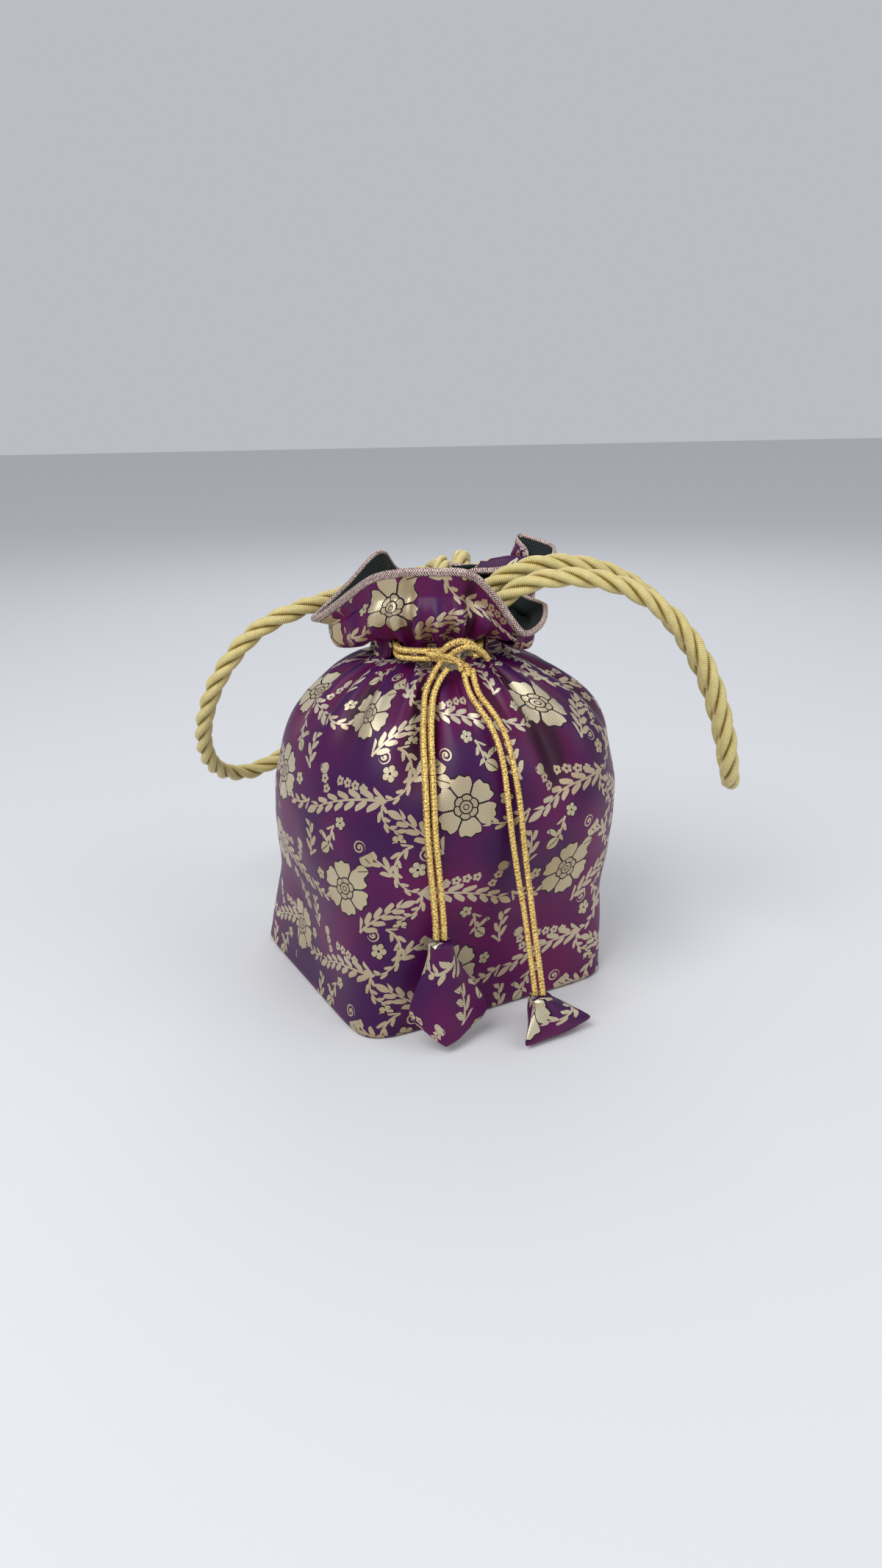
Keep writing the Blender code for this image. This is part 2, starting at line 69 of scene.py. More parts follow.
# Body
BASE_WIDTH = 0.141
BASE_TURN = radians(28)
BASE_EDGE = 0.002
BELLY_WIDTH = 0.166
BELLY_HEIGHT = 0.106
BELLY_DRIFT = 0.010
RIGHT_SHOULDER = 0.0055
NECK_HEIGHT = 0.171
NECK_RADIUS = 0.031
NECK_DRIFT = 0.008
NECK_BAND = 0.0045
PLEAT_DEPTH = 0.0034
LINING_PLEAT = 0.0016
BAND_LOW = NECK_HEIGHT - NECK_BAND
BAND_HIGH = NECK_HEIGHT + NECK_BAND

# Cords
CORD_WIDTH = 0.0032
CORD_PITCH = 0.0035
CHANNEL_SLACK = 0.0011
ROPE_WIDTH = 0.0095
KNOT_WIDTH = 0.0135
KNOT_ANGLE = radians(-74)
SLIT_LEFT = radians(-131)
SLIT_RIGHT = radians(-46)
SLIT_HALF = 0.0065
TASSEL_NECK = 0.0056
CHANNEL_RADIUS = NECK_RADIUS - PLEAT_DEPTH - CLOTH - CLEARANCE - CORD_WIDTH / 2
LINING_NECK = CHANNEL_RADIUS - CORD_WIDTH / 2 - CLEARANCE - CHANNEL_SLACK - LINING_PLEAT
BAND_RADIUS = NECK_RADIUS + PLEAT_DEPTH + CLEARANCE + CORD_WIDTH / 2

# Valleys of the gathers: degrees, depth on the shoulder, reach down the body, depth in the ruffle
GATHERS = (
    (-165, 0.0035, 0.045, 0.0010), (-146, 0.0015, 0.030, 0.0010), (-128, 0.0040, 0.050, 0.0015),
    (-112, 0.0010, 0.025, 0.0045), (-97, 0.0085, 0.060, 0.0010), (-80, 0.0010, 0.030, 0.0015),
    (-64, 0.0030, 0.045, 0.0050), (-48, 0.0080, 0.075, 0.0020), (-30, 0.0015, 0.030, 0.0015),
    (-8, 0.0060, 0.060, 0.0010), (15, 0.0015, 0.030, 0.0020), (38, 0.0060, 0.065, 0.0015),
    (62, 0.0020, 0.035, 0.0020), (88, 0.0070, 0.070, 0.0010), (116, 0.0020, 0.035, 0.0030),
    (143, 0.0065, 0.060, 0.0015), (170, 0.0020, 0.035, 0.0010),
)
FOLD_SPREAD = 7.5
# The body's outline: share of the way up, share of the way from one width to the next, squareness
BASE_TO_BELLY = (
    (0.00, 0.00, 9.0), (0.10, -0.02, 8.0), (0.42, 0.16, 4.2), (0.64, 0.55, 3.1), (0.84, 0.93, 2.5),
)
BELLY_TO_NECK = (
    (0.00, 0.00, 2.3), (0.33, 0.09, 2.2), (0.60, 0.27, 2.1), (0.79, 0.50, 2.0), (0.91, 0.74, 2.0),
)

# The rim: degrees round the neck, reach from the neck's middle, and rise above its band
RIM = (
    (-178, 0.0605, 0.0060), (-160, 0.0480, 0.0180), (-136, 0.0410, 0.0300), (-112, 0.0375, 0.0335),
    (-88, 0.0370, 0.0340), (-66, 0.0400, 0.0320), (-50, 0.0440, 0.0200), (-36, 0.0510, 0.0020),
    (-8, 0.0540, 0.0110), (6, 0.0430, 0.0170), (24, 0.0660, 0.0310), (39, 0.0570, 0.0455),
    (50, 0.0460, 0.0395), (60, 0.0375, 0.0220), (74, 0.0350, 0.0182), (92, 0.0350, 0.0180),
    (106, 0.0385, 0.0190), (120, 0.0410, 0.0240), (140, 0.0370, 0.0350), (162, 0.0450, 0.0220),
)
RUFFLE_SWELL = 0.0060
# How far the brocade hangs down just above the band where no cord comes out under it, which the packed
# solids leave out, and its share round the neck: degrees, share
RUFFLE_DROOP = 0.0085
DROOP = (
    (-178, 1.0), (-156, 1.0), (-144, 0.4), (-131, 0.0), (-46, 0.0), (-34, 0.5), (-20, 1.0), (20, 1.0),
    (60, 0.4), (140, 0.4),
)

# The flap at the back on the right, which is turned down towards the front: degrees, then how far the
# middle and the rim of its cloth are moved from the plain ruffle
FLAP = (
    (16, (0.000, 0.000, 0.000), (0.000, 0.000, 0.000)),
    (24, (0.000, 0.002, 0.001), (0.001, 0.005, 0.002)),
    (31, (-0.001, 0.003, 0.001), (-0.006, 0.004, 0.000)),
    (36, (0.000, 0.002, 0.004), (-0.006, 0.002, -0.004)),
    (41, (0.006, -0.001, 0.010), (0.005, -0.010, -0.012)),
    (46, (0.010, -0.001, 0.011), (0.010, -0.015, -0.016)),
    (52, (0.008, -0.001, 0.014), (0.005, -0.014, -0.012)),
    (57, (0.006, 0.000, 0.014), (-0.004, -0.011, -0.002)),
    (62, (0.003, -0.002, 0.010), (-0.008, -0.009, 0.008)),
    (68, (0.000, -0.002, 0.004), (-0.004, -0.004, 0.009)),
    (76, (0.000, -0.001, 0.002), (-0.001, -0.002, 0.008)),
    (88, (0.000, 0.000, 0.000), (0.000, 0.000, 0.003)),
    (98, (0.000, 0.000, 0.000), (0.000, 0.000, 0.000)),
)

# Routes of the cords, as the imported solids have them
LEFT_ROPE = (
    (0.0098, 0.0160, 0.1815), (0.0102, 0.0190, 0.1895), (0.0110, 0.0255, 0.1980),
    (0.0115, 0.0330, 0.2013), (0.0112, 0.0410, 0.2012), (0.0060, 0.0505, 0.1970),
    (-0.0080, 0.0560, 0.1915), (-0.0290, 0.0500, 0.1890), (-0.0470, 0.0335, 0.1855),
    (-0.0640, 0.0240, 0.1815), (-0.0765, 0.0210, 0.1765), (-0.0865, 0.0200, 0.1700),
    (-0.0955, 0.0200, 0.1610), (-0.1055, 0.0230, 0.1475), (-0.1130, 0.0290, 0.1330),
    (-0.1185, 0.0370, 0.1180), (-0.1215, 0.0490, 0.1020), (-0.1205, 0.0640, 0.0870),
    (-0.1150, 0.0790, 0.0775), (-0.1040, 0.0920, 0.0740), (-0.0880, 0.1010, 0.0790),
    (-0.0700, 0.1060, 0.0880), (-0.0500, 0.1080, 0.1010), (-0.0300, 0.1050, 0.1180),
    (-0.0110, 0.0970, 0.1380), (0.0060, 0.0860, 0.1560), (0.0160, 0.0730, 0.1750),
    (0.0208, 0.0590, 0.1920), (0.0216, 0.0470, 0.2012), (0.0214, 0.0370, 0.2047),
    (0.0208, 0.0290, 0.2028), (0.0203, 0.0225, 0.1960), (0.0200, 0.0165, 0.1875),
    (0.0198, 0.0145, 0.1845),
)
RIGHT_ROPE = (
    (0.0285, 0.0030, 0.1830), (0.0300, 0.0035, 0.1905), (0.0355, 0.0040, 0.1965),
    (0.0440, 0.0040, 0.2010), (0.0560, 0.0050, 0.2050), (0.0710, 0.0080, 0.2052),
    (0.0850, 0.0120, 0.2025), (0.0980, 0.0170, 0.1975), (0.1110, 0.0220, 0.1895),
    (0.1220, 0.0260, 0.1795), (0.1320, 0.0290, 0.1680), (0.1410, 0.0310, 0.1550),
    (0.1490, 0.0320, 0.1400), (0.1550, 0.0310, 0.1240), (0.1590, 0.0270, 0.1080),
    (0.1600, 0.0190, 0.0970), (0.1590, 0.0070, 0.0930), (0.1560, -0.0050, 0.0960),
    (0.1530, -0.0130, 0.1050), (0.1500, -0.0170, 0.1200), (0.1455, -0.0190, 0.1360),
    (0.1400, -0.0200, 0.1515), (0.1325, -0.0200, 0.1660), (0.1225, -0.0190, 0.1795),
    (0.1095, -0.0180, 0.1905), (0.0950, -0.0170, 0.1980), (0.0800, -0.0160, 0.2015),
    (0.0660, -0.0155, 0.2020), (0.0530, -0.0155, 0.2000), (0.0430, -0.0155, 0.1950),
    (0.0345, -0.0150, 0.1885), (0.0290, -0.0130, 0.1830),
)
TAILS = {
    "drawstring_tail_left_outer": (
        (0.0100, -0.0410, 0.1690), (0.0062, -0.0447, 0.1640), (0.0026, -0.0507, 0.1572),
        (0.0015, -0.0595, 0.1495), (0.0011, -0.0690, 0.1395), (0.0015, -0.0765, 0.1305),
        (0.0019, -0.0840, 0.1180), (0.0023, -0.0883, 0.1030), (0.0032, -0.0900, 0.0880),
        (0.0042, -0.0907, 0.0740), (0.0049, -0.0909, 0.0620), (0.0051, -0.0908, 0.0526),
    ),
    "drawstring_tail_left_inner": (
        (0.0126, -0.0450, 0.1662), (0.0092, -0.0489, 0.1624), (0.0062, -0.0541, 0.1568),
        (0.0050, -0.0613, 0.1500), (0.0046, -0.0695, 0.1400), (0.0049, -0.0765, 0.1305),
        (0.0053, -0.0840, 0.1180), (0.0057, -0.0883, 0.1030), (0.0067, -0.0900, 0.0880),
        (0.0077, -0.0907, 0.0740), (0.0084, -0.0909, 0.0620), (0.0086, -0.0908, 0.0526),
    ),
    "drawstring_tail_right_inner": (
        (0.0200, -0.0455, 0.1658), (0.0206, -0.0488, 0.1620), (0.0227, -0.0550, 0.1565),
        (0.0265, -0.0617, 0.1517), (0.0308, -0.0667, 0.1460), (0.0345, -0.0717, 0.1374),
        (0.0366, -0.0760, 0.1280), (0.0382, -0.0803, 0.1130), (0.0402, -0.0815, 0.0950),
        (0.0426, -0.0817, 0.0780), (0.0452, -0.0823, 0.0620), (0.0473, -0.0833, 0.0460),
        (0.0491, -0.0846, 0.0320), (0.0504, -0.0858, 0.0207),
    ),
    "drawstring_tail_right_outer": (
        (0.0240, -0.0450, 0.1655), (0.0246, -0.0490, 0.1620), (0.0266, -0.0545, 0.1565),
        (0.0307, -0.0597, 0.1520), (0.0351, -0.0642, 0.1460), (0.0388, -0.0697, 0.1375),
        (0.0410, -0.0745, 0.1280), (0.0434, -0.0782, 0.1130), (0.0451, -0.0792, 0.0950),
        (0.0470, -0.0802, 0.0780), (0.0489, -0.0816, 0.0620), (0.0508, -0.0831, 0.0460),
        (0.0526, -0.0846, 0.0320), (0.0539, -0.0858, 0.0207),
    ),
}
# Where the cords come in, and the three tips
TASSELS = {
    "tassel_left": (
        (0.0068, -0.0908, 0.0520),
        ((-0.0085, -0.0990, 0.0150), (0.0085, -0.1030, 0.0030), (0.0295, -0.0850, 0.0100)),
    ),
    "tassel_right": (
        (0.0522, -0.0860, 0.0200),
        ((0.0450, -0.1010, 0.0008), (0.0785, -0.0815, 0.0045), (0.0580, -0.0650, 0.0010)),
    ),
}
# Share of the way down a tassel, share of its full width, and how cornered it is there
TASSEL_SHAPE = (
    (0.00, 0.00, 0.0), (0.10, 0.07, 0.1), (0.28, 0.34, 0.35), (0.48, 0.62, 0.65), (0.70, 0.88, 0.88),
    (0.90, 1.00, 1.0), (1.00, 0.84, 0.9),
)

# Where the cloth was cut from its length, in millimetres: a flower's middle lies at CUT_U from the front and
# CUT_V above the floor, and in the ruffle the cloth lies this much further along
CUT_U, CUT_V = 10.1, 115.2
RUFFLE_CUT_U, RUFFLE_CUT_V = -25.0, 16.1
THREAD_CHECK = 1.1         # the brocade's threads, in millimetres
LINING_CHECK = 1.3
SKIN = 0.6                 # share of a cloth's thickness that its piece is given
FULL_FOLD = 0.005          # depth of a fold at which the silk has all of its painted fold shade and painted sheen colour
GROOVE_START = 0.82        # share of a cord's half width below which its grooves are darkened with painted shade
GROOVE_SPAN = 0.35         # and over which they reach full dark

# The camera, worked out from the photograph's vanishing lines, for an image of 1200 by 2133
CAMERA_PLACE = Vector((0.0086, -0.544, 0.285))
CAMERA_PITCH = radians(19.24)
CAMERA_ROLL = radians(1.14)
FOCAL_PIXELS = 1525
IMAGE_HEIGHT = 2133
SENSOR = 36.0

# The soft lights: name, place, power, size
LIGHTS = (
    ("key", (-0.55, -0.75, 1.25), 13.0, 0.9),
    ("fill", (1.1, -0.5, 0.8), 4.0, 1.0),
    ("back", (0.1, 1.2, 1.1), 4.0, 0.9),
)
LIT_POINT = Vector((0.0, 0.0, 0.1))


def linear(code):
    """The linear colour of an sRGB hex code."""
    parts = [int(code[k:k + 2], 16) / 255 for k in (0, 2, 4)]
    return tuple(c / 12.92 if c <= 0.04045 else ((c + 0.055) / 1.055) ** 2.4 for c in parts)


class PotliSizes(bpy.types.PropertyGroup):
    """Sizes that a user would change."""
    rope_lay: bpy.props.FloatProperty(
        name="Rope lay", description="Length of one full turn of a rope's strand",
        default=0.040, unit="LENGTH")
    braid_lay: bpy.props.FloatProperty(
        name="Braid lay", description="Length of one full weave of a drawstring's yarn",
        default=0.0048, unit="LENGTH")
    repeat_width: bpy.props.FloatProperty(
        name="Repeat width", description="Flower to flower in one row of the brocade",
        default=0.1132, unit="LENGTH")
    repeat_row: bpy.props.FloatProperty(
        name="Row height", description="Row to row of the brocade's flowers",
        default=0.0427, unit="LENGTH")
    creases: bpy.props.FloatProperty(
        name="Creases", description="Depth of the soft dents in the cloth",
        default=0.0011, unit="LENGTH")


class PotliColours(bpy.types.PropertyGroup):
    """Colours that a user would change."""
    # Violet and magenta: painted sheen turns the silk magenta in its folds and violet on upward faces, and
    # it varies between them in random patches.
    violet: bpy.props.FloatVectorProperty(
        name="Violet silk", description="Ground of the brocade on its level parts", subtype="COLOR",
        default=linear("3A0844"), min=0, max=1)
    magenta: bpy.props.FloatVectorProperty(
        name="Magenta silk", description="Ground of the brocade in its folds", subtype="COLOR",
        default=linear("780C50"), min=0, max=1)
    zari: bpy.props.FloatVectorProperty(
        name="Zari", description="Gold thread of the flowers", subtype="COLOR",
        default=linear("C8B684"), min=0, max=1)
    # The lightest zari tone: painted highlight on upward faces, and a random lighter tone in patches.
    silver: bpy.props.FloatVectorProperty(
        name="Pale zari", description="Gold thread where it is palest", subtype="COLOR",
        default=linear("E8E2C6"), min=0, max=1)
    rope: bpy.props.FloatVectorProperty(
        name="Rope satin", description="Satin thread of the rope handles", subtype="COLOR",
        default=linear("EADA94"), min=0, max=1)
    cord: bpy.props.FloatVectorProperty(
        name="Cord gold", description="Metallic yarn of the drawstrings", subtype="COLOR",
        default=linear("FFDE86"), min=0, max=1)
    lining: bpy.props.FloatVectorProperty(
        name="Lining", description="Dark lining", subtype="COLOR", default=linear("1C2C2E"), min=0, max=1)


def smooth_through(points, at):
    """A smooth value at one place of a table of (place, value) rows, held level past both ends."""
    places = [p for p, _ in points]
    k = min(max(bisect_right(places, at) - 1, 0), len(points) - 2)
    (a, va), (b, vb) = points[k], points[k + 1]
    t = min(max((at - a) / (b - a), 0.0), 1.0)
    before = points[max(k - 1, 0)]
    after = points[min(k + 2, len(points) - 1)]
    slope_a = (vb - before[1]) / (b - before[0]) * (b - a)
    slope_b = (after[1] - va) / (after[0] - a) * (b - a)
    return ((2 * t**3 - 3 * t**2 + 1) * va + (t**3 - 2 * t**2 + t) * slope_a
            + (3 * t**2 - 2 * t**3) * vb + (t**3 - t**2) * slope_b)


def round_and_round(points):
    """A table whose places are degrees of a full turn, repeated on both sides."""
    return [(p - 360, v) for p, v in points] + list(points) + [(p + 360, v) for p, v in points]


def step(low, high, x):
    """0 below low, 1 above high, and smooth between."""
    t = min(max((x - low) / (high - low), 0.0), 1.0)
    return t * t * (3 - 2 * t)


def body_tables():
    """Tables of half width, squareness and sideways drift over the height, up to the neck band."""
    widths, squareness = [], []
    for share, way, square in BASE_TO_BELLY:
        widths.append((share * BELLY_HEIGHT, BASE_WIDTH / 2 + way * (BELLY_WIDTH - BASE_WIDTH) / 2))
        squareness.append((share * BELLY_HEIGHT, square))
    for share, way, square in BELLY_TO_NECK:
        z = BELLY_HEIGHT + share * (BAND_LOW - BELLY_HEIGHT)
        widths.append((z, BELLY_WIDTH / 2 + way * (NECK_RADIUS - BELLY_WIDTH / 2)))
        squareness.append((z, square))
    widths += [(BAND_LOW, NECK_RADIUS), (BAND_HIGH, NECK_RADIUS)]
    squareness += [(BAND_LOW, 2.0), (BAND_HIGH, 2.0)]
    drift = [(0.0, 0.0), (BELLY_HEIGHT, BELLY_DRIFT), (NECK_HEIGHT, NECK_DRIFT),
             (2 * NECK_HEIGHT, NECK_DRIFT)]
    return widths, squareness, drift


WIDTHS, SQUARENESS, DRIFT = body_tables()
RIM_REACH = round_and_round([(a, reach) for a, reach, _ in RIM])
RIM_RISE = round_and_round([(a, rise) for a, _, rise in RIM])
RUFFLE_HANG = round_and_round(DROOP)
FLAP_MIDDLE = [[(a, middle[axis]) for a, middle, _ in FLAP] for axis in range(3)]
FLAP_RIM = [[(a, rim[axis]) for a, _, rim in FLAP] for axis in range(3)]


def body_radius(angle, z):
    """The plain body without its folds, as a rounded square that turns round on its way up."""
    half, square = smooth_through(WIDTHS, z), smooth_through(SQUARENESS, z)
    shoulder = min(max((z - BELLY_HEIGHT) / (BAND_LOW - BELLY_HEIGHT), 0.0), 1.0)
    half += RIGHT_SHOULDER * max(cos(radians(angle)), 0.0) ** 2 * sin(pi * shoulder) ** 2
    a = radians(angle) - BASE_TURN
    return half / (abs(cos(a)) ** square + abs(sin(a)) ** square) ** (1 / square)


def fold(angle, share, z, up, pleat):
    """How far the gathers push the cloth in or out. up is the share of the way from neck to rim."""
    below = max(BAND_LOW - z, 0.0)
    crest = 1 - 2 * abs(cos(pi * share)) ** 1.4
    fine = 0.16 * cos(6 * pi * share) + 0.08 * sin(10 * pi * share)
    fade = (1 - step(0.0, 0.034, below)) * (1 - 0.92 * step(0.0, 0.6, up))
    dents = 0.0
    for valley, shoulder, reach, ruffle in GATHERS:
        away = (angle - valley + 180) % 360 - 180
        if abs(away) < 3 * FOLD_SPREAD:
            near = exp(-(away / FOLD_SPREAD) ** 2)
            dents += shoulder * near * step(0.0, 0.018, below) * (1 - step(0.4 * reach, reach, below))
            dents += ruffle * near * sin(pi * min(up, 1.0)) if up > 0 else 0.0
    return pleat * (0.86 * crest + fine) * fade - dents


class ClothSheet:
    """The bag's cloth as rows of points from the floor to the rim, at some depth inside its outer face."""
    steps_per_pleat = 18

    def __init__(self, heights, ups, pleat, creases):
        self.heights, self.ups = heights, ups
        self.columns = self.find_columns()
        self.droop = RUFFLE_DROOP if creases else 0.0
        self.places = [[self.point(a, share, k, pleat, creases) for a, share in self.columns]
                       for k in range(len(heights) + len(ups))]

    def find_columns(self):
        """(degrees, share of the way from one gather to the next) of each column of points."""
        found = []
        starts = [g[0] for g in GATHERS]
        for start, end in zip(starts, starts[1:] + [starts[0] + 360]):
            fine = self.steps_per_pleat * (2 if 15 <= start <= 62 else 1)
            found += [(start + k / fine * (end - start), k / fine) for k in range(fine)]
        return found

    def point(self, angle, share, row, pleat, creases):
        in_ruffle = row >= len(self.heights)
        up = self.ups[row - len(self.heights)] if in_ruffle else 0.0
        if in_ruffle:
            reach, rise = smooth_through(RIM_REACH, angle), smooth_through(RIM_RISE, angle)
            swell = sin(pi * min(up / 0.65, 1.0))
            droop = self.droop * smooth_through(RUFFLE_HANG, angle) * sin(pi * min(up / 0.5, 1.0))
            z = BAND_HIGH + rise * up - droop
            radius = NECK_RADIUS + (reach - NECK_RADIUS) * up**0.75 + RUFFLE_SWELL * swell
        else:
            z = self.heights[row]
            radius = body_radius(angle, z)
        radius += fold(angle, share, z if not in_ruffle else BAND_HIGH, up, pleat)
        drift = smooth_through(DRIFT, z)
        a = radians(angle)
        place = Vector((drift + radius * cos(a), radius * sin(a), z))
        if in_ruffle:
            middle = Vector([smooth_through(table, angle) for table in FLAP_MIDDLE])
            rim = Vector([smooth_through(table, angle) for table in FLAP_RIM])
            place += middle * (4 * up * (1 - up)) + rim * up * up
        inside = step(0.0, 0.020, z) * (1 - step(BAND_LOW - 0.020, BAND_LOW, z))
        dent = noise.noise(place * 22.0) + 0.5 * noise.noise(place * 47.0)
        place -= Vector((cos(a), sin(a), 0.0)) * creases * inside * (dent + 0.35)
        return place

    def normals(self):
        """The outward direction of the cloth at each point."""
        rows, out = self.places, []
        for j, row in enumerate(rows):
            low, high = rows[max(j - 1, 0)], rows[min(j + 1, len(rows) - 1)]
            count = len(row)
            out.append([(row[(i + 1) % count] - row[i - 1]).cross(high[i] - low[i]).normalized()
                        for i in range(count)])
        return out

    def sunk(self, depth, channel=0.0):
        """Rows of points at a depth inside the cloth, and deeper by channel at the neck."""
        rows = []
        for j, (row, normals) in enumerate(zip(self.places, self.normals())):
            if j < len(self.heights):
                at_neck = step(BAND_LOW - 0.010, BAND_LOW - 0.001, self.heights[j])
                level = depth * (1 - step(0.0, BASE_EDGE, self.heights[j]))
            else:
                at_neck = 1 - step(0.0, 0.32, self.ups[j - len(self.heights)])
                level = 0.0
            new = []
            for place, normal in zip(row, normals):
                to_axis = Vector((NECK_DRIFT - place.x, -place.y, 0.0)).normalized()
                new.append(place - normal * depth + to_axis * channel * at_neck + Vector((0, 0, level)))
            rows.append(new)
        return rows


def arc_lengths(points):
    """The running length along a line of points."""
    lengths = [0.0]
    for a, b in zip(points, points[1:]):
        lengths.append(lengths[-1] + (b - a).length)
    return lengths


def evenly(points, spacing):
    """Points at an even spacing on a smooth curve through the given ones."""
    points = [Vector(p) for p in points]
    lengths = arc_lengths(points)
    tables = [[(s, p[axis]) for s, p in zip(lengths, points)] for axis in range(3)]
    count = max(round(lengths[-1] / spacing), 2)
    places = [lengths[-1] * k / count for k in range(count + 1)]
    return [Vector([smooth_through(table, s) for table in tables]) for s in places]


def lay_grid(bm, rows, place):
    """Lays a grid of faces on rows of points and joins its last column to the first. place gives the UV of
    a column and a row in millimetres."""
    across, up = len(rows[0]), len(rows) - 1
    uv = bm.loops.layers.uv.get("UVMap") or bm.loops.layers.uv.new("UVMap")
    made = bmesh.ops.create_grid(bm, x_segments=across, y_segments=up, size=0.5, calc_uvs=True)["verts"]
    faces = {f for v in made for f in v.link_faces}
    for face in faces:
        face.smooth = True
        for loop in face.loops:
            at = loop[uv].uv
            loop[uv].uv = place(round(at.x * across), round(at.y * up))
    for v in made:
        v.co = rows[round((v.co.y + 0.5) * up)][round((v.co.x + 0.5) * across) % across]
    bmesh.ops.remove_doubles(bm, verts=made, dist=1e-7)
    return bm


def turning(line):
    """Two directions square to each point of a line, carried along it without a twist."""
    aside = Vector((0.13, 0.99, 0.05))
    frames = []
    for k in range(len(line)):
        along = (line[min(k + 1, len(line) - 1)] - line[max(k - 1, 0)]).normalized()
        aside = (aside - along * aside.dot(along)).normalized()
        frames.append((aside.copy(), along.cross(aside)))
    return frames


def lay_tube(bm, line, radius, sides):
    """A round strand along a line of points, with closed ends. Its UV runs along it and round it."""
    lengths = arc_lengths(line)
    rows = []
    for k, (middle, (one, two)) in enumerate(zip(line, turning(line))):
        width = radius * (0.6 if k in (0, len(line) - 1) else 1.0)
        rows.append([middle + width * (cos(2 * pi * i / sides) * one + sin(2 * pi * i / sides) * two)
                     for i in range(sides)])
    before = set(bm.edges)
    lay_grid(bm, rows, lambda i, j: (lengths[j] * MM, 2 * pi * radius * i / sides * MM))
    ends = [e for e in bm.edges if e not in before and e.is_boundary]
    bmesh.ops.holes_fill(bm, edges=ends, sides=0)
    return bm


def finish_piece(name, bm, look, slot, *nodes):
    """Makes the piece of a bmesh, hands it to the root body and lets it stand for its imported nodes."""
    bmesh.ops.recalc_face_normals(bm, faces=bm.faces)
    bm.normal_update()
    if min(bm.faces, key=lambda face: face.calc_center_median().z).normal.z > 0:
        bmesh.ops.reverse_faces(bm, faces=bm.faces)
    mesh = bpy.data.meshes.new(name)
    bm.to_mesh(mesh)
    bm.free()
    mesh.materials.append(look)
    piece = bpy.data.objects.new(name, mesh)
    bpy.context.scene.collection.objects.link(piece)
    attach(piece, "root")
    if nodes:
        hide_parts(*nodes)
    return piece


def mark_hollows(piece, line, width):
    """Keeps how deep each point of a cord lies between its strands, for the shade in its grooves."""
    near = KDTree(len(line))
    for k, p in enumerate(line):
        near.insert(p, k)
    near.balance()
    marks = piece.data.attributes.new("hollow", "FLOAT", "POINT")
    for v, mark in zip(piece.data.vertices, marks.data):
        mark.value = min(max((GROOVE_START - 2 * near.find(v.co)[2] / width) / GROOVE_SPAN, 0.0), 1.0)


def feed(tree, node, inputs):
    """Links or sets the inputs of a node, which are given in order or by key."""
    pairs = inputs.items() if isinstance(inputs, dict) else enumerate(inputs)
    for key, value in pairs:
        if isinstance(value, bpy.types.NodeSocket):
            tree.links.new(value, node.inputs[key])
        else:
            node.inputs[key].default_value = value


def add(tree, kind, inputs=(), **settings):
    """Adds a shader node with its settings and inputs."""
    node = tree.nodes.new("ShaderNode" + kind)
    for name, value in settings.items():
        setattr(node, name, value)
    feed(tree, node, inputs)
    return node


# The Math node of each sign, with the same work on plain numbers, and the Math node of each call
SIGNS = {
    ast.Add: ("ADD", operator.add), ast.Sub: ("SUBTRACT", operator.sub),
    ast.Mult: ("MULTIPLY", operator.mul), ast.Div: ("DIVIDE", operator.truediv),
    ast.Lt: ("LESS_THAN", operator.lt), ast.Gt: ("GREATER_THAN", operator.gt),
}
CALLS = {
    "sqrt": "SQRT", "abs": "ABSOLUTE", "atan2": "ARCTAN2", "sin": "SINE", "cos": "COSINE",
    "fract": "FRACT", "round": "ROUND", "min": "MINIMUM", "max": "MAXIMUM", "wrap": "WRAP",
    "pingpong": "PINGPONG", "power": "POWER",
}


def formula(tree, text, **known):
    """Adds the Math nodes of lines such as r = sqrt(x * x + y * y), and returns every named value."""
    def build(part):
        if isinstance(part, ast.Constant):
            return part.value
        if isinstance(part, ast.Name):
            return known[part.id]
        if isinstance(part, ast.UnaryOp):
            return work(ast.Mult, -1.0, build(part.operand))
        if isinstance(part, ast.BinOp):
            return work(type(part.op), build(part.left), build(part.right))
        if isinstance(part, ast.Compare):
            return work(type(part.ops[0]), build(part.left), build(part.comparators[0]))
        inputs = [build(a) for a in part.args]
        return add(tree, "Math", inputs, operation=CALLS[part.func.id]).outputs[0]

    def work(sign, left, right):
        name, plain = SIGNS[sign]
        if isinstance(left, (int, float)) and isinstance(right, (int, float)):
            return float(plain(left, right))
        return add(tree, "Math", (left, right), operation=name).outputs[0]

    for line in ast.parse(text).body:
        known[line.targets[0].id] = build(line.value)
    return known


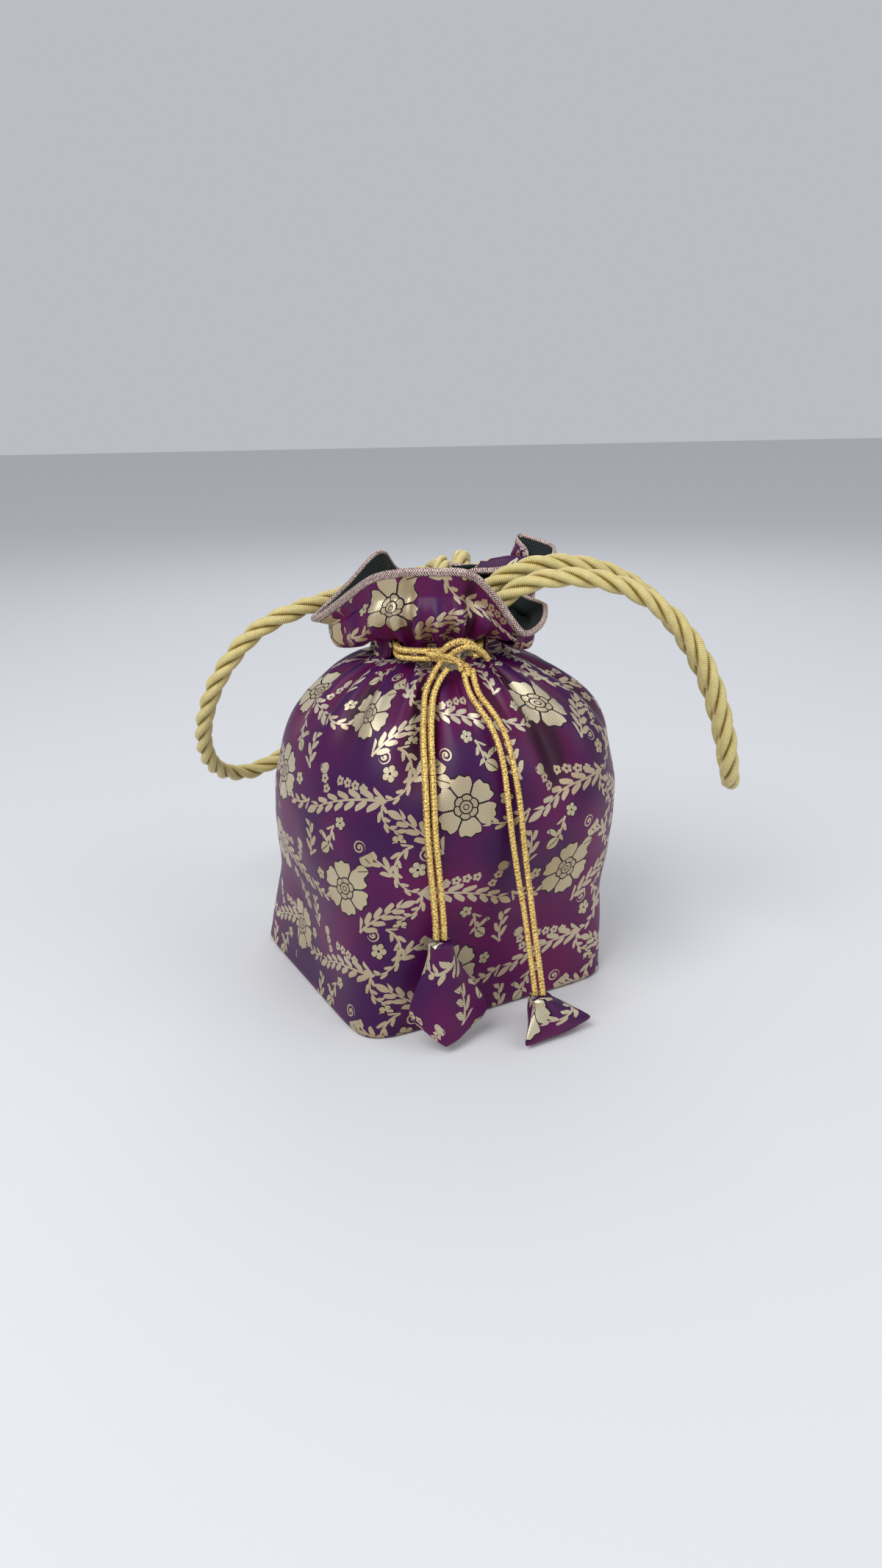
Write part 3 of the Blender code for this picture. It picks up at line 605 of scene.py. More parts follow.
def brocade_field(tree, u, v, sizes):
    """The woven pattern at u, v in millimetres: 1 on zari, 1 on dark outline, and 1 in the flowers' hearts.

    Rows of flowers, each row half a repeat aside, lie in bands with a wavy border. Between two flowers of
    a row lie scrolling sprays, chains of florets, curls, single florets and veined leaves, and every
    second row has them mirrored."""
    wide, row = sizes.repeat_width * MM, sizes.repeat_row * MM
    wires = formula(tree, """
band = round((v + 6.0 * cos(u * wave)) / row)
y = v - band * row
slid = u + band * half
x = wrap(slid, half, -half)
mirror = 1.0 - 4.0 * fract(band * 0.5)
gx = wrap(slid + half, half, -half) * mirror
r = sqrt(x * x + y * y)
turn = atan2(y, x) + 0.35
q = pingpong(turn, sixth) / sixth
edge = 14.2 - 1.2 * pingpong(q * 3.0, 1.0) - 4.2 * power(q, 5.0)
rib = r * sin(sixth - q * sixth)
heart = r < 5.8
p = pingpong(turn + 0.3, sixth) / sixth
small_rib = r * sin(sixth - p * sixth)
ring = max(abs(r - 5.8 + 0.9 * p * p) < 0.36, abs(r - 2.9) < 0.3)
inner = max((small_rib < 0.26) * (r > 2.9) * (r < 5.3), abs(r - 1.2) < 0.22)
petal = (r < edge) * (1.0 - max(max(ring, inner), (rib < 0.4) * (r > 5.6)))
halo = r < edge + 0.8
""", u=u, v=v, row=row, half=wide / 2, wave=4 * pi / wide, sixth=pi / 6)
    gx, gy = wires["gx"], wires["y"]
    zari, halo = wires["petal"], wires["halo"]
    for x, y, heading, bend, length, leaf, leaves in FERNS:
        zari = formula(tree, "zari = max(zari, fern)", zari=zari,
                       fern=fern(tree, gx, gy, x, y, radians(heading), bend, length, leaf, leaves))["zari"]
    for x, y, heading, size in BIG_LEAVES:
        turn = radians(heading)
        leaf = formula(tree, """
lx = (gx - x) * c + (gy - y) * s
ly = abs((gy - y) * c - (gx - x) * s)
t = lx / size
wide = 1.55 * size * t * (1.0 - t)
leaf = (ly < wide) * (1.0 - (ly < 0.22) * (t < 0.85))
dark = ly < wide + 0.55
zari = max(zari, leaf)
halo = max(halo, dark)
""", gx=gx, gy=gy, x=x, y=y, c=cos(turn), s=sin(turn), size=size, zari=zari, halo=halo)
        zari, halo = leaf["zari"], leaf["halo"]
    for x, y, size in FLORETS:
        floret = formula(tree, """
fx = gx - x
fy = gy - y
r = sqrt(fx * fx + fy * fy)
q = pingpong(atan2(fy, fx), fifth) / fifth
edge = size * (1.0 - 0.34 * q * q)
bloom = (r < edge) * (r > size * 0.17) * (1.0 - (q > 0.9) * (r > size * 0.45))
zari = max(zari, bloom)
halo = max(halo, r < edge + 0.5)
""", gx=gx, gy=gy, x=x, y=y, size=size, fifth=pi / 5, zari=zari, halo=halo)
        zari, halo = floret["zari"], floret["halo"]
    for x, y, size, start in CURLS:
        zari = formula(tree, """
cx = gx - x
cy = gy - y
r = sqrt(cx * cx + cy * cy)
coil = fract((atan2(cy, cx) + start) / full + r / pitch)
zari = max(zari, max((abs(coil - 0.5) < 0.21) * (r < size) * (r > 0.6), r < 0.75))
""", gx=gx, gy=gy, x=x, y=y, size=size, start=start, full=2 * pi, pitch=1.9, zari=zari)["zari"]
    for x, y, heading, bend, length, size in CHAINS:
        way = along_arc(tree, gx, gy, x, y, radians(heading), bend)
        zari = formula(tree, """
k = s / pitch
lx = (fract(k) - 0.5) * pitch
r = sqrt(lx * lx + d * d)
q = pingpong(atan2(d, lx), fifth) / fifth
bloom = (r < size * (1.0 - 0.35 * q * q)) * (r > size * 0.25)
zari = max(zari, bloom * (s < length))
""", s=way["s"], d=way["d"], pitch=size * 2.05, size=size, fifth=pi / 5, length=length, zari=zari)["zari"]
    return zari, halo, wires["heart"]


def along_arc(tree, gx, gy, x, y, heading, bend):
    """Distance s along an arc from x, y and distance d aside of it. bend is the arc's radius, negative where
    it bends right."""
    side = 1.0 if bend > 0 else -1.0
    middle_x, middle_y = x - bend * sin(heading), y + bend * cos(heading)
    start = atan2(y - middle_y, x - middle_x)
    return formula(tree, """
ax = gx - middle_x
ay = gy - middle_y
s = wrap(side * (atan2(ay, ax) - start), full, 0.0) * size
d = sqrt(ax * ax + ay * ay) - size
""", gx=gx, gy=gy, middle_x=middle_x, middle_y=middle_y, side=side, start=start, full=2 * pi, size=abs(bend))


LEAN = radians(42)        # between a spray's stem and its leaves


def fern(tree, gx, gy, x, y, heading, bend, length, leaf, leaves):
    """A stem on an arc with pointed leaves on alternate sides, smaller towards its tip, and one on that."""
    way = along_arc(tree, gx, gy, x, y, heading, bend)
    return formula(tree, """
aside = abs(d)
foot = (s - aside * slant) / length
t = aside / (reach - shrink * foot)
a = abs(fract(foot * leaves + 0.5 * (d > 0.0)) - 0.5) * pitch
blade = (a < fat * t * (1.0 - t)) * (foot > 0.0) * (foot < 1.0)
stem = (aside < 0.7 - 0.4 * s / length) * (s < length)
tip = (s - length) / leaf
found = max(max(blade, stem), aside < fat * tip * (1.0 - tip))
""", s=way["s"], d=way["d"], length=length, leaves=float(leaves), pitch=length / leaves * sin(LEAN),
                   leaf=leaf, reach=leaf * sin(LEAN), shrink=0.4 * leaf * sin(LEAN), fat=0.8 * leaf,
                   slant=1 / tan(LEAN))["found"]


# The sprays between two flowers of a row, in millimetres from the middle between them. Ferns: start x and y,
# heading in degrees, radius of the arc (negative bends right), length, leaf length, leaves a side
FERNS = (
    (23, 26, -21, -12, 33, 5.4, 5), (20, 2.4, 178, 80, 42, 8.8, 6), (19, 3, -118, 9, 17, 5.2, 3),
    (29, 9, 52, -34, 22, 7.0, 3), (47, -21, 128, 60, 25, 8.4, 4), (-8, -13, -118, 22, 13, 5.6, 2),
    (-30, 9, 108, -30, 20, 7.0, 3), (-27, -5, -142, -20, 20, 6.2, 3),
)
# Leaves with a dark outline: foot, heading, length
BIG_LEAVES = ((41, 15, 35, 9.0), (43, 12, -12, 8.0), (-17, -17, -75, 8.0), (-40, 15, 140, 7.5))
# Florets with a dark outline: middle and radius
FLORETS = ((20.5, 14.5, 3.9), (-4, -11, 3.2), (27, -15, 3.4), (-38, 2, 3.2))
# Curls: middle, radius, angle at which the coil starts
CURLS = ((17, 22, 3.3, 0.5), (8, -20, 3.3, 4.0), (-19, 12, 3.0, 2.0))
# Chains of florets: start, heading, radius of the arc, length, floret radius
CHAINS = ((-20, 14, -72, 60, 14, 2.4), (10, 6, 165, 60, 19, 2.4))


def woven_uv(tree):
    """The two coordinates of the piece's own UV map, in millimetres."""
    uv = add(tree, "UVMap", uv_map="UVMap").outputs[0]
    apart = add(tree, "SeparateXYZ", (uv,))
    return apart.outputs[0], apart.outputs[1]


def new_look(name):
    """An empty node material and its shader."""
    look = bpy.data.materials.new(name)
    look.use_nodes = True
    return look.node_tree, look.node_tree.nodes["Principled BSDF"], look


def purple_zari_brocade():
    """Shot silk brocade, purple in one direction and magenta in the other, with raised zari thread: a soft
    sheen on the ground, and a broken metal glint on the flowers and leaves. Its colour holds painted light:
    painted shade darkens the folds, painted sheen turns the silk magenta in the folds and violet on upward
    faces, and the zari is painted paler as a highlight on upward faces and rose-brown as shade in the folds;
    silk and zari also vary in random patches. Its threads lie about 0.2 mm apart, and are drawn 1.1 mm apart
    so that they show."""
    sizes, colours = bpy.context.scene.potli_sizes, bpy.context.scene.potli_colours
    tree, shader, look = new_look("purple_zari_brocade")
    u, v = woven_uv(tree)
    zari, halo, heart = brocade_field(tree, u, v, sizes)
    valley = add(tree, "Attribute", attribute_name="valley").outputs["Fac"]
    place = add(tree, "TexCoord").outputs["Object"]
    patches = add(tree, "TexNoise", {"Vector": place, "Scale": 22.0, "Detail": 2.0})
    # How much the cloth faces up, for painted sheen and painted highlight on upward faces.
    up = add(tree, "SeparateXYZ", (add(tree, "NewGeometry").outputs["Normal"],)).outputs[2]
    weave = formula(tree, """
checks = sin(u * thread) * sin(v * thread)
lines = sin(v * thread * 1.3) * 0.5 + 0.5
dots = min(1.0, 0.8 + 0.55 * checks)
height = lines * 0.3 + zari * (0.6 + checks * 0.4)
shot = min(1.0, max(0.0, patch * 1.7 - 0.62 + valley * 0.8 - up * 0.3))
pale = min(1.0, max(0.0, patch * 1.4 - 0.35 + up * 0.5))
rosy = min(1.0, max(0.0, 1.2 - patch * 2.4 + valley * 0.3)) * 0.5
hearts = heart * 0.3
deep = min(0.82, valley * valley * 0.95)
metal = zari * 0.5
rough = 0.42 - zari * 0.06
""", u=u, v=v, valley=valley, patch=patches.outputs[0], up=up, zari=zari, heart=heart,
                    thread=2 * pi / THREAD_CHECK)
    # Painted sheen: the silk is painted magenta in the folds and violet on upward faces, and varied in
    # random patches.
    silk = {0: weave["shot"], 6: (*colours.violet, 1.0), 7: (*colours.magenta, 1.0)}
    silk = add(tree, "Mix", silk, data_type="RGBA").outputs[2]
    # Painted shade: the ground darkens towards near-black in the deepest folds.
    shade = {0: weave["deep"], 6: silk, 7: (*linear("140414"), 1.0)}
    ground = add(tree, "Mix", shade, data_type="RGBA").outputs[2]
    # Painted highlight: the zari is painted lighter on upward faces, and in random patches.
    gold = {0: weave["pale"], 6: (*colours.zari, 1.0), 7: (*colours.silver, 1.0)}
    thread = add(tree, "Mix", gold, data_type="RGBA").outputs[2]
    # Rose-brown zari in random patches and as painted shade in the folds; tan in the flowers' hearts.
    for share, tone in ((weave["rosy"], "B98A7A"), (weave["hearts"], "A89070")):
        toned = {0: share, 6: thread, 7: (*linear(tone), 1.0)}
        thread = add(tree, "Mix", toned, data_type="RGBA").outputs[2]
    thread = add(tree, "Mix", {0: weave["dots"], 6: ground, 7: thread}, data_type="RGBA").outputs[2]
    outline = {0: halo, 6: ground, 7: (*linear("0E0410"), 1.0)}
    dark = add(tree, "Mix", outline, data_type="RGBA").outputs[2]
    colour = add(tree, "Mix", {0: zari, 6: dark, 7: thread}, data_type="RGBA").outputs[2]
    bump = add(tree, "Bump", {"Strength": 0.3, "Distance": 0.0002, "Height": weave["height"]})
    feed(tree, shader, {
        "Base Color": colour, "Metallic": weave["metal"], "Roughness": weave["rough"],
        "Normal": bump.outputs[0], "Specular IOR Level": 0.25, "Sheen Weight": 0.06,
        "Sheen Roughness": 0.35, "Sheen Tint": (*linear("A040A0"), 1.0),
    })
    return look


def dark_matty_lining():
    """Dark polyester lining in a matty weave: a fine grid of dots with a dull sheen. Its threads are drawn
    1.3 mm apart, about twice as coarse as they are, so that they show."""
    colours = bpy.context.scene.potli_colours
    tree, shader, look = new_look("dark_matty_lining")
    u, v = woven_uv(tree)
    weave = formula(tree, """
height = abs(sin(u * thread) * sin(v * thread))
dot = height * height
""", u=u, v=v, thread=pi / LINING_CHECK)
    dots = {0: weave["dot"], 6: (*linear("060C0D"), 1.0), 7: (*colours.lining, 1.0)}
    colour = add(tree, "Mix", dots, data_type="RGBA").outputs[2]
    bump = add(tree, "Bump", {"Strength": 0.5, "Distance": 0.0004, "Height": weave["height"]})
    feed(tree, shader, {
        "Base Color": colour, "Roughness": 0.65, "Specular IOR Level": 0.3, "Normal": bump.outputs[0],
    })
    return look


def zigzag_metal_braid():
    """Machine-stitched zigzag edging of copper-rose metallic thread, painted a light silver as highlights on
    the crests of its stitches and as glints in fine random specks: dense slanting stitches, 1.2 mm apart and
    turned round every 1.5 mm of its width."""
    tree, shader, look = new_look("zigzag_metal_braid")
    u, v = woven_uv(tree)
    place = add(tree, "TexCoord").outputs["Object"]
    speckle = add(tree, "TexNoise", {"Vector": place, "Scale": 900.0, "Detail": 1.0})
    braid = formula(tree, """
stitch = sin((u + pingpong(v, 1.5) * 0.9) * 5.2) * 0.5 + 0.5
light = min(1.0, max(0.0, stitch * stitch * 1.2 + speck * 1.5 - 0.7))
""", u=u, v=v, speck=speckle.outputs[0])
    # Painted highlights and glints: the stitches are painted a light silver on their crests and in fine
    # random specks, over the copper-rose thread.
    threads = {0: braid["light"], 6: (*linear("6A3446"), 1.0), 7: (*linear("F0E0D0"), 1.0)}
    colour = add(tree, "Mix", threads, data_type="RGBA").outputs[2]
    bump = add(tree, "Bump", {"Strength": 0.6, "Distance": 0.0004, "Height": braid["stitch"]})
    feed(tree, shader, {
        "Base Color": colour, "Metallic": 0.55, "Roughness": 0.38, "Normal": bump.outputs[0],
    })
    return look


def gold_lurex_yarn():
    """Knitted lurex yarn: bright metal facets, painted as glints in random specks, between gaps and grooves
    darkened with painted shade.
    """
    colours = bpy.context.scene.potli_colours
    tree, shader, look = new_look("gold_lurex_yarn")
    u, v = woven_uv(tree)
    place = add(tree, "TexCoord").outputs["Object"]
    speckle = add(tree, "TexNoise", {"Vector": place, "Scale": 1300.0, "Detail": 1.0})
    hollow = add(tree, "Attribute", attribute_name="hollow").outputs["Fac"]
    yarn = formula(tree, """
lines = sin(u * 5.0 + v * 3.0) * 0.5 + 0.5
light = min(1.0, max(0.0, speck * 2.8 - 0.9 + lines * 0.4 - hollow * 0.9))
height = lines * 0.5 + speck
""", u=u, v=v, speck=speckle.outputs[0], hollow=hollow)
    # Painted glints in random specks, and painted shade (84581E) where the yarn lies deep in the cord's
    # grooves.
    flecks = {0: yarn["light"], 6: (*linear("84581E"), 1.0), 7: (*colours.cord, 1.0)}
    colour = add(tree, "Mix", flecks, data_type="RGBA").outputs[2]
    bump = add(tree, "Bump", {"Strength": 0.5, "Distance": 0.0003, "Height": yarn["height"]})
    feed(tree, shader, {
        "Base Color": colour, "Metallic": 0.4, "Roughness": 0.36, "Normal": bump.outputs[0],
    })
    return look


def gold_viscose_satin():
    """Viscose satin thread wound round each strand of the rope: fine rings of thread, drawn 0.9 mm apart,
    with a silky gloss, and painted shade darkening the grooves between the strands."""
    colours = bpy.context.scene.potli_colours
    tree, shader, look = new_look("gold_viscose_satin")
    u, v = woven_uv(tree)
    place = add(tree, "TexCoord").outputs["Object"]
    drift = add(tree, "TexNoise", {"Vector": place, "Scale": 260.0, "Detail": 2.0})
    hollow = add(tree, "Attribute", attribute_name="hollow").outputs["Fac"]
    thread = formula(tree, """
ring = sin((u + v * 0.3) * 7.0 + drift * 5.0) * 0.5 + 0.5
tone = min(1.0, max(0.0, 0.2 + ring * 0.6 + drift * 0.5 - hollow))
""", u=u, v=v, drift=drift.outputs[0], hollow=hollow)
    # Painted shade: the satin turns towards 8F6E1E deep in the grooves between the strands, which also
    # darken the rings of thread.
    satin = {0: thread["tone"], 6: (*linear("8F6E1E"), 1.0), 7: (*colours.rope, 1.0)}
    colour = add(tree, "Mix", satin, data_type="RGBA").outputs[2]
    bump = add(tree, "Bump", {"Strength": 0.5, "Distance": 0.0003, "Height": thread["ring"]})
    feed(tree, shader, {
        "Base Color": colour, "Roughness": 0.34, "Normal": bump.outputs[0], "Sheen Weight": 0.15,
        "Sheen Roughness": 0.3, "Sheen Tint": (*linear("FFF2B0"), 1.0),
    })
    return look


def shared_look(build):
    """The material of a builder, made once."""
    return bpy.data.materials.get(build.__name__) or build()


class POTLI_OT_stage(bpy.types.Operator):
    """Adds the floor, the soft light and the camera at the photograph's angle"""
    bl_idname = "potli.stage"
    bl_label = "Stage"

    def execute(self, context):
        scene = context.scene
        scene.view_settings.view_transform = "Standard"
        self.floor(scene)
        self.lights(scene)
        self.camera(scene)
        return {"FINISHED"}

    def floor(self, scene):
        bm = bmesh.new()
        bmesh.ops.create_grid(bm, x_segments=1, y_segments=1, size=6.0)
        mesh = bpy.data.meshes.new("floor")
        bm.to_mesh(mesh)
        bm.free()
        tree, shader, look = new_look("pale_floor")
        feed(tree, shader, {"Base Color": (*linear("DCDDE0"), 1.0), "Roughness": 0.9})
        mesh.materials.append(look)
        floor = bpy.data.objects.new("floor", mesh)
        scene.collection.objects.link(floor)

    def lights(self, scene):
        world = bpy.data.worlds.new("soft_studio")
        world.use_nodes = True
        sky = world.node_tree.nodes["Background"]
        sky.inputs[0].default_value = (*linear("E6EAF0"), 1.0)
        sky.inputs[1].default_value = 0.62
        scene.world = world
        for name, place, power, size in LIGHTS:
            lamp = bpy.data.lights.new(name, "AREA")
            lamp.energy = power
            lamp.size = size
            light = bpy.data.objects.new(name, lamp)
            light.location = place
            light.rotation_euler = (LIT_POINT - light.location).to_track_quat("-Z", "Y").to_euler()
            scene.collection.objects.link(light)

    def camera(self, scene):
        forward = Vector((0.0, cos(CAMERA_PITCH), -sin(CAMERA_PITCH)))
        level_up = Vector((0.0, sin(CAMERA_PITCH), cos(CAMERA_PITCH)))
        across = Vector((1.0, 0.0, 0.0))
        right = cos(CAMERA_ROLL) * across - sin(CAMERA_ROLL) * level_up
        up = sin(CAMERA_ROLL) * across + cos(CAMERA_ROLL) * level_up
        data = bpy.data.cameras.new("camera")
        data.sensor_width = SENSOR
        data.lens = FOCAL_PIXELS / IMAGE_HEIGHT * SENSOR
        camera = bpy.data.objects.new("camera", data)
        turned = Matrix((right, up, -forward)).transposed().to_4x4()
        camera.matrix_world = Matrix.Translation(CAMERA_PLACE) @ turned
        scene.collection.objects.link(camera)
        scene.camera = camera


class POTLI_OT_rope_handles(bpy.types.Operator):
    """Adds the two rope handles, each of three twisted satin strands"""
    bl_idname = "potli.rope_handles"
    bl_label = "Rope handles"
    strands = 3
    sides = 12
    spacing = 0.0013

    def execute(self, context):
        lay = context.scene.potli_sizes.rope_lay
        satin = shared_look(gold_viscose_satin)
        for node, route in (("rope_handle_left", LEFT_ROPE), ("rope_handle_right", RIGHT_ROPE)):
            line = evenly(route, self.spacing)
            piece = finish_piece("satin_" + node, self.twisted(line, lay), satin, "rope", node)
            mark_hollows(piece, line, ROPE_WIDTH)
            arc_lengths(line)[-1]
        return {"FINISHED"}

    def twisted(self, line, lay):
        """Strands that touch each other and together fill the rope's width."""
        strand = ROPE_WIDTH / 2 / (1 + 1 / sin(pi / self.strands))
        aside = strand / sin(pi / self.strands)
        lengths, frames = arc_lengths(line), turning(line)
        bm = bmesh.new()
        for k in range(self.strands):
            turns = [2 * pi * (s / lay + k / self.strands) for s in lengths]
            wound = [p + aside * 0.96 * (cos(a) * one + sin(a) * two)
                     for p, a, (one, two) in zip(line, turns, frames)]
            lay_tube(bm, wound, strand * 1.06, self.sides)
        return bm


def plaited(bm, line, width, lay):
    """A round plait of four yarns along a line."""
    lengths, frames = arc_lengths(line), turning(line)
    for k in range(4):
        yarn = []
        for p, s, (one, two) in zip(line, lengths, frames):
            a = 2 * pi * (s / lay + k / 4)
            yarn.append(p + 0.3 * width * cos(a) * one + 0.22 * width * sin(2 * a) * two)
        lay_tube(bm, yarn, 0.25 * width, 7)
    return bm


def neck_point(angle, radius, above):
    return Vector((NECK_DRIFT + radius * cos(angle), radius * sin(angle), NECK_HEIGHT + above))


class POTLI_OT_drawstrings(bpy.types.Operator):
    """Adds the two drawstrings in their channel, their four hanging ends and the half knot"""
    bl_idname = "potli.drawstrings"
    bl_label = "Drawstrings"
    spacing = 0.00045
    slope = radians(9)
    # The half knot's two bights, in millimetres, and how far to the right of the bag's middle they lie
    arch = (
        (-8.0, -40.5, 170.0), (-4.0, -43.5, 173.0), (0.0, -46.5, 176.5), (4.5, -47.2, 178.2),
        (9.0, -46.0, 177.0), (12.5, -43.0, 173.5), (14.0, -41.0, 170.5),
    )
    under = (
        (-10.5, -38.5, 171.0), (-5.0, -42.5, 171.2), (1.0, -45.0, 170.3), (4.5, -46.8, 168.0),
        (5.3, -47.5, 164.5),
    )
    knot_at = 0.0155

    def execute(self, context):
        for node, above in (("drawstring_upper", CORD_PITCH / 2), ("drawstring_lower", -CORD_PITCH / 2)):
            self.plait(context, "plaited_" + node, node, [self.round_the_neck(above)])
        for node, route in TAILS.items():
            piece, line = self.plait(context, "plaited_" + node, node, [route])
            arc_lengths(line)[-1]
        pairs = []
        for route in (self.arch, self.under):
            for shift in (-0.5, 0.5):
                aside = Vector((1.0, 0.0, -0.75)) * shift * CORD_WIDTH
                pairs.append([Vector((x + self.knot_at * MM, y, z)) / MM + aside for x, y, z in route])
        self.plait(context, "plaited_half_knot", "drawstring_knot", pairs)
        return {"FINISHED"}

    def plait(self, context, name, node, routes):
        """A piece of plaited cords along some routes, and the points of their middle lines."""
        bm, middles = bmesh.new(), []
        for route in routes:
            line = evenly(route, self.spacing)
            plaited(bm, line, CORD_WIDTH, context.scene.potli_sizes.braid_lay)
            middles += line
        piece = finish_piece(name, bm, shared_look(gold_lurex_yarn), "drawstring", node)
        mark_hollows(piece, middles, CORD_WIDTH)
        return piece, middles

    def round_the_neck(self, above):
        """From the knot round the left slit, round the channel behind and out of the right slit again."""
        half_knot = (KNOT_WIDTH / 2 + CLEARANCE) / BAND_RADIUS
        slope = self.slope
        knot_left, knot_right = KNOT_ANGLE - half_knot, KNOT_ANGLE + half_knot
        band_end = SLIT_LEFT + 1.7 * slope
        points = [neck_point(knot_left + (band_end - knot_left) * k / 3, BAND_RADIUS, above)
                  for k in range(3)]
        ways = ((1.7, 1.0), (1.1, 0.84), (0.0, 0.40), (-1.1, 0.05), (-1.9, 0.0))
        span = BAND_RADIUS - CHANNEL_RADIUS
        points += [neck_point(SLIT_LEFT + turn * slope, CHANNEL_RADIUS + share * span, above)
                   for turn, share in ways]
        start, end = SLIT_LEFT - 2.6 * slope, SLIT_RIGHT + 2.6 * slope - 2 * pi
        points += [neck_point(start + (end - start) * k / 24, CHANNEL_RADIUS, above) for k in range(25)]
        points += [neck_point(SLIT_RIGHT - turn * slope, CHANNEL_RADIUS + share * span, above)
                   for turn, share in ways[::-1]]
        return points + [neck_point(knot_right, BAND_RADIUS, above)]


class POTLI_OT_tassels(bpy.types.Operator):
    """Adds the two stuffed three-cornered tassels of brocade"""
    bl_idname = "potli.tassels"
    bl_label = "Tassels"
    rings = 26
    spokes = 14
    fullness = 0.13

    def execute(self, context):
        brocade = shared_look(purple_zari_brocade)
        for node, (point, tips) in TASSELS.items():
            bm = self.cap(Vector(point), [Vector(t) for t in tips])
            piece = finish_piece("brocade_" + node, bm, brocade, "brocade", node)
        return {"FINISHED"}

    def cap(self, point, tips):
        """Rings from the tassel's point to its foot, filled out between its three edges."""
        middle = sum(tips, Vector()) / 3
        reach = sum((t - middle).length for t in tips) / 3
        shape = [(share, Vector((width, cornered))) for share, width, cornered in TASSEL_SHAPE]
        rows = []
        for j in range(self.rings + 1):
            share = 1 - (1 - j / self.rings) ** 1.3
            width, cornered = smooth_through(shape, share)
            row = []
            for k in range(3 * self.spokes):
                this, along = tips[k // self.spokes], (k % self.spokes) / self.spokes
                side = this.lerp(tips[(k // self.spokes + 1) % 3], along) - middle
                neck = Vector((side.x, side.y, 0.0)).normalized() * TASSEL_NECK
                full = (side.normalized() * 0.62 * reach).lerp(side, 0.94 * cornered)
                swell = 1 + self.fullness * sin(pi * along) * sin(pi * min(share * 1.1, 1.0))
                row.append(point.lerp(middle, share) + neck.lerp(full * swell, width))
            rows.append(row)
        for shrink in (0.7, 0.35, 0.08):
            row = [middle + (p - middle) * shrink for p in rows[self.rings]]
            rows.append(row)
        size = (middle - point).length
        girth = 3.8 * reach
        bm = lay_grid(bmesh.new(), rows,
                      lambda i, j: (i / (3 * self.spokes) * girth * MM, -j / self.rings * size * MM))
        bmesh.ops.holes_fill(bm, edges=[e for e in bm.edges if e.is_boundary], sides=0)
        bmesh.ops.smooth_vert(bm, verts=bm.verts, factor=0.5,
                              use_axis_x=True, use_axis_y=True, use_axis_z=True)
        return bm


def wall_heights(count):
    """Heights of the rows from the floor to the neck band, closer together at the bottom edge."""
    low = [0.0, 0.4 * BASE_EDGE, BASE_EDGE]
    wall = [BASE_EDGE + (BAND_LOW - BASE_EDGE) * k / count for k in range(1, count + 1)]
    return low + wall + [NECK_HEIGHT, BAND_HIGH]


def cloth_places(sheet, rows):
    """UV of a column and row: the cut cloth's own threads, so that the pattern gathers with the cloth."""
    count = len(sheet.columns)
    belly = min(range(len(sheet.heights)), key=lambda k: abs(sheet.heights[k] - 0.6 * BELLY_HEIGHT))
    girth = arc_lengths(sheet.places[belly] + sheet.places[belly][:1])
    rim = arc_lengths(rows[-3] + rows[-3][:1])
    front = min(range(count), key=lambda i: abs(sheet.columns[i][0] + 90))
    ups = [arc_lengths([row[i] for row in rows]) for i in range(0, count, 8)]
    rise = [sum(line[j] for line in ups) / len(ups) for j in range(len(rows))]

    def place(i, j):
        share = step(BAND_LOW - 0.006, BAND_HIGH, sheet.heights[j]) if j < len(sheet.heights) else 1.0
        body = (girth[i] - girth[front]) * MM - CUT_U
        ruffle = (rim[i] - rim[front]) * MM - CUT_U + RUFFLE_CUT_U
        return ((1 - share) * body + share * ruffle, rise[j] * MM - CUT_V + share * RUFFLE_CUT_V)
    return place


def base_rows(ring, count):
    """Rows of points from the middle of the base out to its edge."""
    middle = sum(ring, Vector()) / len(ring)
    return [[middle.lerp(p, k / count) for p in ring] for k in range(1, count + 1)]


def sewn_cloth(sheet, rows):
    """A bmesh of the walls and ruffle on their rows of points, with the base sewn in."""
    bm = lay_grid(bmesh.new(), rows, cloth_places(sheet, rows))
    base = base_rows(rows[0], 10)
    lay_grid(bm, base, lambda i, j: base[j][i % len(rows[0])].xy * MM)
    bmesh.ops.remove_doubles(bm, verts=bm.verts, dist=1e-6)
    hole = [e for e in bm.edges if e.is_boundary and e.verts[0].co.z < BASE_EDGE]
    bmesh.ops.holes_fill(bm, edges=hole, sides=0)
    return bm


def rounded_edge(rows, shares):
    """Draws the lowest rows in by their shares of the rounding of the bottom edge."""
    for share, row in zip(shares, rows):
        for k, p in enumerate(row):
            row[k] = p - Vector((p.x, p.y, 0.0)).normalized() * BASE_EDGE * share
    return rows


def ruffle_shares(top, count):
    return [top * (k / count) for k in range(1, count + 1)]


def thicken(piece, cloth):
    """Gives a piece its cloth's thickness, on the inner side."""
    thick = piece.modifiers.new("cloth", "SOLIDIFY")
    thick.thickness = SKIN * cloth
    thick.offset = -1.0


